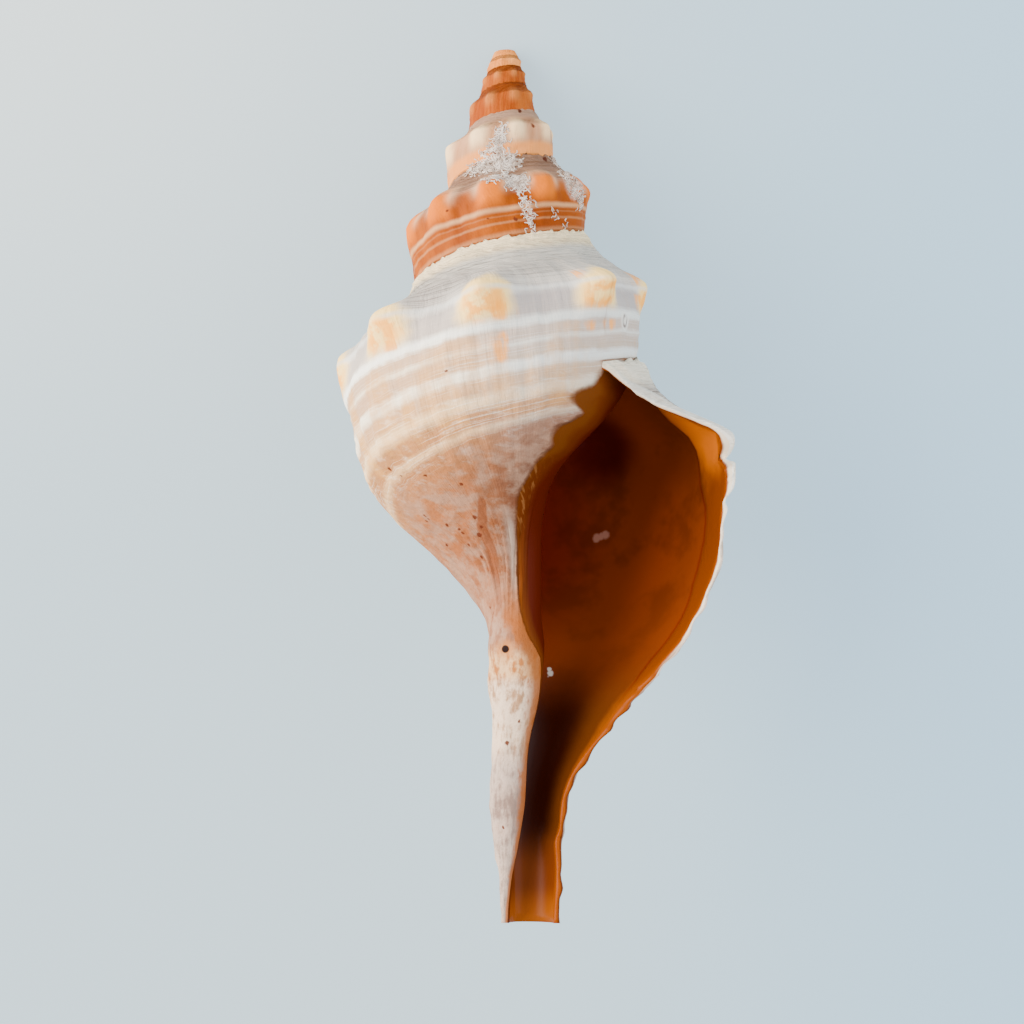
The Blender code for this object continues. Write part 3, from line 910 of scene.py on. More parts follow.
    def add_spire(self, ends: Array, index: Array, marks: Array, whorl: int) -> None:
        """Adds the earlier turns in two coarser bands, each zipped to the finer one after it.

        A band's last column also joins its own first column, one turn later.

        Args:
            ends: Turn angles between the bands, latest first.
            index: The last turn's point numbers.
            marks: The last turn's marks.
            whorl: The last turn's column at the next suture.
        """
        first_col = index[:, 0]
        first_marks = marks[:, 0]
        first_row, first_row_marks = index[0, : whorl + 1], marks[0, : whorl + 1]
        for level in (1, 0):
            rows = round(self.turns_per_level[level] * self.rows_per_turn[level])
            newer, older = ends[2 - level], ends[3 - level]
            turns = np.linspace(older, newer, rows + 1)[:-1]
            points, band_marks = self.band(turns, self.spire_columns[level])
            band = self.fabric.number(points[:, :-1])
            self.fabric.add_grid(band, band_marks[:, :-1], Side.OUTSIDE)
            per_turn = self.rows_per_turn[level]
            start = rows - per_turn
            if start > 0:
                later = np.concatenate([band[per_turn:, 0], first_row[:1]])[: start + 1]
                seam = np.stack([band[: start + 1, -1], later], axis=1)
                self.fabric.add_grid(seam, band_marks[: start + 1, -2:], Side.OUTSIDE)
            self.add_corner_zip(
                band[start:], band_marks[start:, :-1], (first_col, first_marks),
                (first_row, first_row_marks),
            )
            after = first_col[0] if start <= 0 else band[per_turn, 0]
            first_row = np.concatenate([band[0], [after]])
            first_row_marks = band_marks[0]
            first_col = np.concatenate([band[:, 0], [index[0, 0] if level == 1 else first_col[0]]])
            first_marks = np.concatenate([band_marks[:, 0], first_row_marks[:1]])
            if level == 0:
                self.add_apex(points, band, band_marks, per_turn)

    def add_corner_zip(
        self, band: Array, marks: Array, column: tuple[Array, Array], row: tuple[Array, Array]
    ) -> None:
        """Zips a band's last column and last row to the finer turns below and after it.

        Args:
            band: The coarser band's point numbers.
            marks: Its marks.
            column: The finer turns' first column and its marks.
            row: Their first row and its marks.
        """
        col_index, col_marks = column
        row_index, row_marks = row
        seam_marks = col_marks.copy()
        seam_marks[:, 0] -= 1
        seam_marks[:, 1] = self.form.next_suture
        seam_marks[:, 3] += 360
        rows, cols = band.shape
        mine = np.concatenate([band[:, -1], band[-1, -2::-1]])
        my_marks = np.concatenate([marks[:, -1], marks[-1, -2::-1]])
        my_places = np.concatenate([np.arange(rows) / rows, 1 + np.arange(1, cols) / cols])
        other = np.concatenate([col_index, row_index[-2::-1]])
        other_marks = np.concatenate([seam_marks, row_marks[-2::-1]])
        other_places = np.concatenate([
            np.linspace(0, 1, len(col_index)),
            1 + np.linspace(0, 1, len(row_index))[1:],
        ])
        self.fabric.add_zip(
            (mine, my_marks, my_places), (other, other_marks, other_places), Side.OUTSIDE, True
        )

    def add_apex(self, points: Array, band: Array, marks: Array, per_turn: int) -> None:
        """Closes the first turn with a low dome of triangles round one point.

        Args:
            points: The first band's points.
            band: Their numbers.
            marks: Their marks.
            per_turn: Rows in a turn.
        """
        rim = np.concatenate([[band[per_turn, 0]], band[0, ::-1], band[1 : per_turn + 1, 0]])
        rim_marks = np.concatenate([
            marks[0, -1:], marks[0, -2::-1], marks[1 : per_turn + 1, 0]
        ])
        places = np.concatenate([
            points[per_turn, :1], points[0, -2::-1], points[1 : per_turn + 1, 0]
        ])
        top = np.array([self.form.axis_bend[0][1], places[:, 1].max() + self.apex_dome, 0.0])
        shares = np.array(self.apex_rings)[:, None, None]
        rings = top + (places - top) * shares
        drop = 1 - np.sqrt(1 - shares[..., 0] ** 2)
        rings[..., 1] = top[1] + (places[:, 1] - top[1]) * drop
        ring_index = self.fabric.number(rings[:, :-1])
        ring_index = np.concatenate([ring_index, ring_index[:, :1]], axis=1)
        rows = np.concatenate([rim[None], ring_index])
        row_marks = np.broadcast_to(rim_marks, (len(rows), *rim_marks.shape))
        self.fabric.add_grid(rows, row_marks, Side.OUTSIDE)
        tip = self.fabric.number(top[None])
        around = np.broadcast_to(tip, len(rim) - 1)
        last = rows[-1]
        self.fabric.add(
            [around, last[1:], last[:-1]], [rim_marks[:-1], rim_marks[1:], rim_marks[:-1]],
            Side.OUTSIDE,
        )

    def add_hollow(
        self, index: Array, points: Array, marks: Array, depth: Array, whorl: int
    ) -> None:
        """Adds the hollow's outer and inner wall, the lip's edge, and the joins between them.

        The outer wall is the earlier turn's surface plus the gap, which closes as a quarter
        ellipse towards the floor and towards the hollow's end.

        Args:
            index: The last turn's point numbers.
            points: Its points.
            marks: Its marks.
            depth: Its depths.
            whorl: Its column at the next suture.
        """
        form = self.form
        count = round(self.hollow_deg / 360 * self.inner_rows_per_turn)
        turns = np.linspace(self.end - math.radians(self.hollow_deg), self.end, count + 1)
        top, floor = form.hollow_ends(turns)
        fine = (depth[-1] - depth[-1, 0]) / (form.run_out - depth[-1, 0])
        root = whorl + self.edge_steps
        coarse = np.linspace(0, 1, self.wall_columns) ** self.wall_crowding
        inner = self.wall_points(turns, top, floor, coarse)
        front, back, front_marks, back_marks = inner
        back_index = self.fabric.number(back[:-1])
        front_index = self.fabric.number(front[:-1])
        front_index[:, 0], front_index[:, -1] = back_index[:, 0], back_index[:, -1]
        front_index[0] = back_index[0]
        self.fabric.add_grid(front_index, front_marks[:-1], Side.INSIDE, True)
        self.fabric.add_grid(back_index, back_marks[:-1], Side.OUTSIDE)
        row = index[0, root:]
        row_marks = marks[0, root:]
        self.fabric.add_zip(
            (back_index[-1], back_marks[-2], coarse),
            (row, row_marks, (depth[0, root:] - depth[0, root]) / (form.run_out - depth[0, root])),
            Side.OUTSIDE, True,
        )
        edge_front, _, edge_marks, _ = self.wall_points(turns, top, floor, fine)
        last = self.add_lip_edge(index, points, marks, edge_front[-1], edge_marks[-1], whorl)
        self.fabric.add_zip(
            (front_index[-1], front_marks[-2], coarse), (last, edge_marks[-1], fine), Side.INSIDE
        )

    def wall_points(
        self, turns: Array, top: Array, floor: Array, share: Array
    ) -> tuple[Array, Array, Array, Array]:
        """Both walls of the hollow and their marks, at given shares of the way to its floor.

        Args:
            turns: Turn angles, rising.
            top: Depths of the hollow's corner.
            floor: Depths of its floor.
            share: Shares of the way down.

        Returns:
            The outer wall, the inner wall, and the marks of each.
        """
        form = self.form
        depth = top[:, None] + (floor - top)[:, None] * share[None, :]
        own_last = depth[-1] / form.size(turns[-1])
        turn = turns[:, None] + self.skew(turns, own_last) * (share > 0)[None, :]
        straight = turns[:, None] + 0 * depth
        back = form.place(straight - TURN, form.skin_radius(straight - TURN, depth), depth)
        to_floor = np.clip((floor[:, None] - depth) / self.floor_rounding, 0, 1)
        to_end = (turns - turns[0])[:, None] / math.radians(self.end_rounding_deg)
        to_end = np.clip(to_end, 0, 1)
        share_open = np.sqrt(1 - (1 - to_floor) ** 2) * np.sqrt(1 - (1 - to_end) ** 2)
        gap = np.maximum(form.hollow_gap(turn, depth), 0) * share_open * (share > 0)[None, :]
        front = form.place(turn, form.skin_radius(turn - TURN, depth) + gap, depth)
        front[:, -1] = back[:, -1]
        front_marks = self.marks(turn, depth, share[None, :])
        return front, back, front_marks, self.marks(straight - TURN, depth)

    def add_lip_edge(
        self, index: Array, points: Array, marks: Array, inner: Array, inner_marks: Array,
        whorl: int,
    ) -> Array:
        """Adds the lip's narrow rounded edge, half a turn of an ellipse from skin to hollow.

        Args:
            index: The last turn's point numbers.
            points: Its points.
            marks: Its marks.
            inner: The hollow's points at the lip.
            inner_marks: Their marks.
            whorl: The column at the next suture.

        Returns:
            Numbers of the edge's innermost points.
        """
        outer, before = points[-1], points[-2]
        share = ((1 - np.cos(np.linspace(0, math.pi, self.edge_steps + 1))) / 2)[:, None, None]
        band = outer[None] * (1 - share) + inner[None] * share
        onward = outer - before
        onward = onward / np.maximum(np.linalg.norm(onward, axis=-1, keepdims=True), 1e-9)
        band += onward[None] * self.lip_rounding * np.sqrt(np.maximum(1 - (2 * share - 1) ** 2, 0))
        edge = self.fabric.number(band[1:])
        edge = np.concatenate([index[-1:], edge])
        edge[:, 0] = index[0, whorl : whorl + self.edge_steps + 1]
        edge[-1, -1] = index[0, -1]
        edge_marks = marks[-1][None] * (1 - share) + inner_marks[None] * share
        edge_marks[..., 5] = -share[..., 0]
        middle = self.edge_steps // 2
        self.fabric.add_grid(edge[: middle + 1], edge_marks[: middle + 1], Side.OUTSIDE)
        self.fabric.add_grid(edge[middle:], edge_marks[middle:], Side.INSIDE)
        return edge[-1]

    def finish_form(self, mesh: bpy.types.Mesh) -> None:
        """Breaks the canal off at its end, lays the shell down and wears its resting flats.

        Args:
            mesh: The shell, in the shell frame, changed in place.
        """
        form = bmesh.new()
        form.from_mesh(mesh)
        level = -self.form.canal_end * MM
        geometry = form.verts[:] + form.edges[:] + form.faces[:]
        bmesh.ops.bisect_plane(
            form, geom=geometry, plane_co=(0, level, 0), plane_no=(0, -1, 0), clear_outer=True
        )
        rim = [edge for edge in form.edges if edge.is_boundary]
        filled = bmesh.ops.triangle_fill(form, edges=rim, use_beauty=True, use_dissolve=False)
        for item in filled["geom"]:
            if isinstance(item, bmesh.types.BMFace):
                item.material_index = Side.BREAK
                item.smooth = False
        loose = [vert for vert in form.verts if not vert.link_faces]
        bmesh.ops.delete(form, geom=loose, context="VERTS")
        bmesh.ops.recalc_face_normals(form, faces=form.faces)
        form.to_mesh(mesh)
        form.free()
        places = np.empty(len(mesh.vertices) * 3, np.float32)
        mesh.vertices.foreach_get("co", places)
        places = self.laid(places.reshape(-1, 3) / MM) * MM
        places = self.squeezed(places / MM) * MM
        places[:, 2] = np.maximum(places[:, 2], 0)
        mesh.vertices.foreach_set("co", places.astype(np.float32).ravel())
        mesh.update()

    def squeezed(self, points: Array) -> Array:
        """Points eased inside the solid's box: the last of the way out to it is drawn in.

        Args:
            points: Laid points in millimetres.

        Returns:
            The points, moved only near the box.
        """
        half = np.array(self.half_sides_mm)
        middle = np.array([0.0, 0.0, half[2]])
        out = points - middle
        over = np.maximum(np.abs(out) - (half - self.squeeze_mm), 0)
        drawn = self.squeeze_mm * np.tanh(over / self.squeeze_mm) - over
        return points + np.sign(out) * drawn

    def laid(self, points: Array) -> Array:
        """Shell-frame points in millimetres, turned and moved to where the shell lies."""
        return points @ np.array(self.lay()).T + np.array(self.move_mm)

    def lay(self) -> Matrix:
        """The turn that lays the shell on its back."""
        pitch = Matrix.Rotation(math.radians(self.pitch_deg), 3, "X")
        return pitch @ Matrix.Rotation(math.radians(self.roll_deg), 3, "Y")


@dataclass(frozen=True)
class Crust:
    """A mat of small worm-like tubes that once lived on the spire, swept over its surface."""

    patches: tuple[tuple[Spot, float, int], ...] = (
        ((-11.5, 70.3, 26.5), 2.4, 40), ((-8.8, 71.4, 27.0), 3.0, 75),
        ((-6.2, 71.4, 27.2), 3.4, 95), ((-3.8, 71.3, 27.3), 2.9, 60),
        ((-3.7, 68.5, 34.5), 2.6, 50), ((-0.6, 67.6, 34.5), 2.2, 42),
        ((-6.8, 69.0, 36.0), 2.0, 26), ((-6.8, 74.5, 25.1), 1.8, 24), ((-5.9, 76.2, 24.2), 1.4, 18),
        ((-5.4, 77.8, 23.3), 1.1, 11), ((-5.0, 79.1, 22.2), 0.8, 6), ((0.0, 65.8, 36.0), 1.3, 14),
        ((0.9, 63.7, 37.0), 1.2, 12), ((1.3, 61.2, 38.0), 1.0, 9), ((1.7, 59.0, 38.6), 0.9, 6),
        ((2.1, 57.2, 38.9), 0.8, 5), ((6.0, 69.0, 17.0), 1.8, 14), ((8.8, 67.3, 24.3), 1.9, 20),
        ((10.4, 65.4, 26.4), 2.1, 26), ((11.6, 63.0, 26.4), 1.9, 22), ((11.6, 60.8, 25.8), 1.2, 9),
        ((6.7, 59.9, 34.4), 1.0, 5), ((8.7, 57.3, 32.5), 0.9, 4),
    )
    steps: int = 13
    sides: int = 4
    density: float = 1.7
    radius: Pair = (0.09, 0.17)
    length: Pair = (0.7, 2.3)
    bend: float = 4.5
    lift: Pair = (0.0, 0.32)
    sink: float = 0.10
    curl: float = 0.8
    taper: float = 0.35
    jitter: float = 0.3
    seed: int = 7

    def mesh(self, skin: bpy.types.Mesh) -> bpy.types.Mesh:
        """Sweeps every tube: an arc in the skin's tangent plane, rising a little in its middle.

        Args:
            skin: The fine shell, laid down, whose points the tubes start from.

        Returns:
            One smooth mesh of closed tubes, in world metres.
        """
        chance = np.random.default_rng(self.seed)
        start, normal = self._starts(skin, chance)
        count = len(start)
        side = np.cross(normal, chance.normal(size=(count, 3)))
        side /= np.linalg.norm(side, axis=1, keepdims=True)
        ahead = np.cross(normal, side)
        share = np.linspace(0, 1, self.steps)
        bend = chance.uniform(-self.bend, self.bend, (count, 1))
        phase = chance.uniform(0, 1, (count, 1))
        heading = bend * share + self.curl * np.sin(TURN * (share + phase))
        length = chance.uniform(*self.length, (count, 1))
        run = length / (self.steps - 1)
        forward = np.cumsum(np.cos(heading), axis=1) * run
        across = np.cumsum(np.sin(heading), axis=1) * run
        height = chance.uniform(*self.lift, (count, 1)) * (0.5 + 0.5 * np.sin(math.pi * share))
        path = start[:, None] + forward[..., None] * side[:, None]
        path = path + across[..., None] * ahead[:, None]
        path = path + (height - self.sink)[..., None] * normal[:, None]
        way = np.gradient(path, axis=1)
        way /= np.linalg.norm(way, axis=2, keepdims=True)
        flat = np.cross(way, np.broadcast_to(normal[:, None], way.shape))
        flat /= np.maximum(np.linalg.norm(flat, axis=2, keepdims=True), 1e-6)
        up = np.cross(flat, way)
        thick = chance.uniform(*self.radius, (count, 1)) * (1 - self.taper * share**4)
        turn = TURN * np.arange(self.sides) / self.sides
        ring = np.cos(turn)[:, None] * flat[:, :, None] + np.sin(turn)[:, None] * up[:, :, None]
        points = path[:, :, None] + thick[..., None, None] * ring
        return self._sewn(points)

    def _starts(self, skin: bpy.types.Mesh, chance: np.random.Generator) -> tuple[Array, Array]:
        """Random points of the skin inside each patch, and the normals there, in millimetres.

        Args:
            skin: The fine shell.
            chance: The random draws.

        Returns:
            Points and normals.
        """
        places = np.empty(len(skin.vertices) * 3, np.float32)
        skin.vertices.foreach_get("co", places)
        normals = np.empty(len(skin.vertices) * 3, np.float32)
        skin.vertex_normals.foreach_get("vector", normals)
        places = places.reshape(-1, 3).astype(float) / MM
        normals = normals.reshape(-1, 3).astype(float)
        chosen = []
        for spot, reach, count in self.patches:
            off = np.linalg.norm(places - np.array(spot), axis=1)
            near = np.flatnonzero((off < reach) & (normals[:, 2] > 0))
            if len(near):
                chosen.append(chance.choice(near, round(self.density * count)))
        chosen = np.concatenate(chosen)
        jitter = np.cross(normals[chosen], chance.normal(size=(len(chosen), 3))) * self.jitter
        return places[chosen] + jitter, normals[chosen]

    def _sewn(self, points: Array) -> bpy.types.Mesh:
        """Faces round and along every tube, with both ends closed.

        Args:
            points: By tube, step and side, in millimetres.

        Returns:
            The mesh in metres.
        """
        count = len(points)
        index = np.arange(points[..., 0].size).reshape(count, self.steps, self.sides)
        after = np.roll(index, -1, axis=2)
        walls = np.stack(
            [index[:, :-1], after[:, :-1], after[:, 1:], index[:, 1:]], axis=-1
        ).reshape(-1, 4)
        ends = np.concatenate([index[:, 0, ::-1], index[:, -1]])
        mesh = bpy.data.meshes.new("crust")
        faces = np.concatenate([walls, ends])
        mesh.from_pydata((points.reshape(-1, 3) * MM).tolist(), [], faces.tolist())
        mesh.shade_smooth()
        return mesh


class Wire:
    """A value in a material, wrapped so that arithmetic on it adds Math nodes."""

    def __init__(self, paint: "Paint", socket: bpy.types.NodeSocket) -> None:
        """Wraps one output socket of a node in that material."""
        self.paint = paint
        self.socket = socket

    def _math(self, operation: str, *values: "Wire | float") -> "Wire":
        """One Math node on the given values."""
        return self.paint.node("Math", {"operation": operation}, dict(enumerate(values)))

    def __add__(self, other: "Wire | float") -> "Wire":
        """The sum."""
        return self._math("ADD", self, other)

    def __sub__(self, other: "Wire | float") -> "Wire":
        """The difference."""
        return self._math("SUBTRACT", self, other)

    def __rsub__(self, other: float) -> "Wire":
        """A number less this value."""
        return self._math("SUBTRACT", other, self)

    def __mul__(self, other: "Wire | float") -> "Wire":
        """The product."""
        return self._math("MULTIPLY", self, other)

    def __truediv__(self, other: "Wire | float") -> "Wire":
        """The quotient."""
        return self._math("DIVIDE", self, other)

    def __neg__(self) -> "Wire":
        """The value with its sign turned."""
        return self._math("MULTIPLY", self, -1.0)

    __radd__ = __add__
    __rmul__ = __mul__

    def raised(self, base: float) -> "Wire":
        """A base to the power of this value."""
        return self._math("POWER", base, self)

    def size(self) -> "Wire":
        """The value without its sign."""
        return self._math("ABSOLUTE", self)

    def least(self, other: "Wire | float") -> "Wire":
        """The smaller of two."""
        return self._math("MINIMUM", self, other)

    def most(self, other: "Wire | float") -> "Wire":
        """The larger of two."""
        return self._math("MAXIMUM", self, other)

    def ease(self, low: float, high: float) -> "Wire":
        """0 below low, 1 above high and a smooth S between; falling where low is the larger.

        Args:
            low: Where the result is 0.
            high: Where it is 1.

        Returns:
            The share.
        """
        settings = {"interpolation_type": "SMOOTHSTEP"}
        if low < high:
            limits = {0: self, 1: low, 2: high, 3: 0.0, 4: 1.0}
        else:
            limits = {0: self, 1: high, 2: low, 3: 1.0, 4: 0.0}
        return self.paint.node("MapRange", settings, limits)

    def bell(self, middle: "Wire | float", reach: float) -> "Wire":
        """1 at the middle, 0 beyond the reach, and smooth between."""
        return (self - middle).size().ease(reach, 0.0)


class Paint:
    """Builds one material's nodes."""

    def __init__(self, name: str) -> None:
        """Starts a material with one Principled shader.

        Args:
            name: The material's name.
        """
        self.material = bpy.data.materials.new(name)
        self.material.use_nodes = True
        self.nodes = self.material.node_tree.nodes
        self.links = self.material.node_tree.links
        self.shader = self.nodes["Principled BSDF"]

    def node(self, kind: str, settings: dict, sockets: dict, output: int | str = 0) -> Wire:
        """Adds a node: its settings first, then its sockets' values and links.

        Args:
            kind: The node's type, without the ShaderNode that every one begins with.
            settings: Property names and values; "stops" fills a colour ramp.
            sockets: Input number or name, and a value or a Wire.
            output: Which output the returned Wire reads.

        Returns:
            The chosen output, wrapped.
        """
        made = self.nodes.new("ShaderNode" + kind)
        for key, value in settings.items():
            if key == "stops":
                self._fill_ramp(made, value)
            else:
                setattr(made, key, value)
        for key, value in sockets.items():
            if isinstance(value, Wire):
                self.links.new(value.socket, made.inputs[key])
            else:
                made.inputs[key].default_value = value
        return Wire(self, made.outputs[output])

    def _fill_ramp(self, made: bpy.types.Node, stops: list[tuple[float, Colour]]) -> None:
        """Sets a colour ramp's stops, in rising order.

        Args:
            made: The ramp's node.
            stops: Places and colours.
        """
        ramp = made.color_ramp
        while len(ramp.elements) < len(stops):
            ramp.elements.new(1.0)
        for element, (place, colour) in zip(ramp.elements, stops):
            element.position = place
            element.color = (*colour, 1.0)

    def carried(self, name: str) -> tuple[Wire, Wire, Wire]:
        """The three numbers of a vector that the mesh carries."""
        vector = self.node("Attribute", {"attribute_name": name}, {}, "Vector")
        return tuple(
            self.node("SeparateXYZ", {}, {0: vector}, axis) for axis in range(3)
        )

    def here(self) -> Wire:
        """The point in the object's own metres."""
        return self.node("TexCoord", {}, {}, "Object")

    def noise(self, where: Wire, scale: float, detail: float = 3.0, rough: float = 0.5) -> Wire:
        """Cloudy noise, centred on one half."""
        return self.node(
            "TexNoise", {},
            {"Vector": where, "Scale": scale, "Detail": detail, "Roughness": rough},
        )

    def streaks(self, x: Wire, y: Wire, z: float, detail: float, rough: float = 0.5) -> Wire:
        """Cloudy noise over values of its own, which stretch it one way."""
        where = self.node("CombineXYZ", {}, {0: x, 1: y, 2: z})
        return self.noise(where, 1.0, detail, rough)

    def shift(self, where: Wire, scale: float, by: float) -> Wire:
        """A place moved by cloudy noise, up to about half of the given length each way.

        Args:
            where: The place.
            scale: The noise's scale.
            by: The length.

        Returns:
            The moved place.
        """
        clouds = self.node("TexNoise", {}, {"Vector": where, "Scale": scale}, "Color")
        centred = self.node("VectorMath", {"operation": "SUBTRACT"},
                            {0: clouds, 1: (0.5, 0.5, 0.5)})
        scaled = self.node("VectorMath", {"operation": "SCALE"},
                           {0: centred, "Scale": by})
        return self.node("VectorMath", {"operation": "ADD"}, {0: where, 1: scaled})

    def away(self, where: Wire, spot_mm: Spot) -> Wire:
        """Distance from a spot, in millimetres.

        Args:
            where: The place, in metres.
            spot_mm: The spot.

        Returns:
            The distance.
        """
        spot = tuple(MM * value for value in spot_mm)
        distance = self.node("VectorMath", {"operation": "DISTANCE"},
                             {0: where, 1: spot}, "Value")
        return distance * 1000.0

    def spots(self, where: Wire, marks: Marks, core: float) -> Wire:
        """A mask of round marks.

        Args:
            where: The place to measure from, in the object's metres.
            marks: Each mark's place and reach, in millimetres.
            core: The share of the reach within which a mark is full.

        Returns:
            1 in the marks and 0 outside them.
        """
        mask = None
        for spot, reach in marks:
            mark = self.away(where, spot).ease(reach, core * reach)
            mask = mark if mask is None else mask.most(mark)
        return mask

    def mix(self, share: Wire | float, under: Wire | Colour, over: Wire | Colour) -> Wire:
        """One colour laid over another by a share.

        Args:
            share: How much shows of the upper colour.
            under: The lower colour.
            over: The upper colour.

        Returns:
            The mixed colour.
        """
        under = under if isinstance(under, Wire) else (*under, 1.0)
        over = over if isinstance(over, Wire) else (*over, 1.0)
        settings = {"data_type": "RGBA", "clamp_factor": True}
        return self.node("Mix", settings, {0: share, 6: under, 7: over}, 2)

    def blend(self, share: Wire | float, under: Wire | float, over: Wire | float) -> Wire:
        """One number mixed into another by a share."""
        return self.node(
            "Mix", {"data_type": "FLOAT", "clamp_factor": True},
            {0: share, 2: under, 3: over}, 0,
        )

    def ramp(self, value: Wire, stops: list[tuple[float, Colour]]) -> Wire:
        """A colour read from a row of stops between 0 and 1."""
        return self.node("ValToRGB", {"stops": stops}, {0: value}, 0)

    def bump(self, height: Wire, distance: float, strength: float = 1.0) -> Wire:
        """A normal tilted by a height in units of the distance, in metres."""
        return self.node(
            "Bump", {}, {"Strength": strength, "Distance": distance, "Height": height}
        )

    def finish(self, linked: dict[str, Wire], fixed: dict) -> bpy.types.Material:
        """Links and sets the Principled shader's sockets, and returns the material.

        Args:
            linked: Socket names and what feeds them.
            fixed: Socket names and plain values.

        Returns:
            The material.
        """
        for name, wire in linked.items():
            self.links.new(wire.socket, self.shader.inputs[name])
        for name, value in fixed.items():
            self.shader.inputs[name].default_value = value
        return self.material


class Surface(Paint):
    """A material of the shell, with what its points carry and the noises that finishes share.

    Along and down are millimetres behind the lip and below the coil's point. Growth runs along
    former lip edges, and spiral round the whorl. Cloudy and mottled are centred on 0.
    """

    def __init__(self, name: str) -> None:
        """Reads the carried vectors and makes the shared noises.

        Args:
            name: The material's name.
        """
        super().__init__(name)
        self.turn, self.own, self.depth = self.carried("grown")
        self.behind, self.knob, self.share = self.carried("worn")
        self.glaze, self.band, self.stain = self.carried("laid")
        self.place = self.here()
        size = self.turn.raised(Growth.rate)
        self.along = self.behind * size * -0.8
        self.down = self.own * size
        self.cloud = self.noise(self.place, 60.0, 4.0, 0.6)
        self.mottle = self.noise(self.place, 260.0, 3.0, 0.6)
        self.cloudy = self.cloud - 0.5
        self.mottled = self.mottle - 0.5
        self.growth = self.streaks(self.along * 0.55, self.down * 0.035, 0.0, 5.0, 0.62)
        self.fine_growth = self.streaks(self.along * 2.4, self.down * 0.11, 3.0, 3.0, 0.6)
        self.spiral = self.streaks(self.along * 0.045, self.own * 1.5, 7.0, 4.0, 0.6)
        self.colour: Wire | Colour = (1.0, 1.0, 1.0)

    def lay(self, share: Wire | float, over: Wire | Colour) -> None:
        """Lays a colour over the surface's own by a share."""
        self.colour = self.mix(share, self.colour, over)


class Light(IntEnum):
    """Which colour of a zone is read: the greyer one with painted shade, or the warmer one with
    painted sunlight.
    """

    SHADED = 1
    SUNLIT = 2


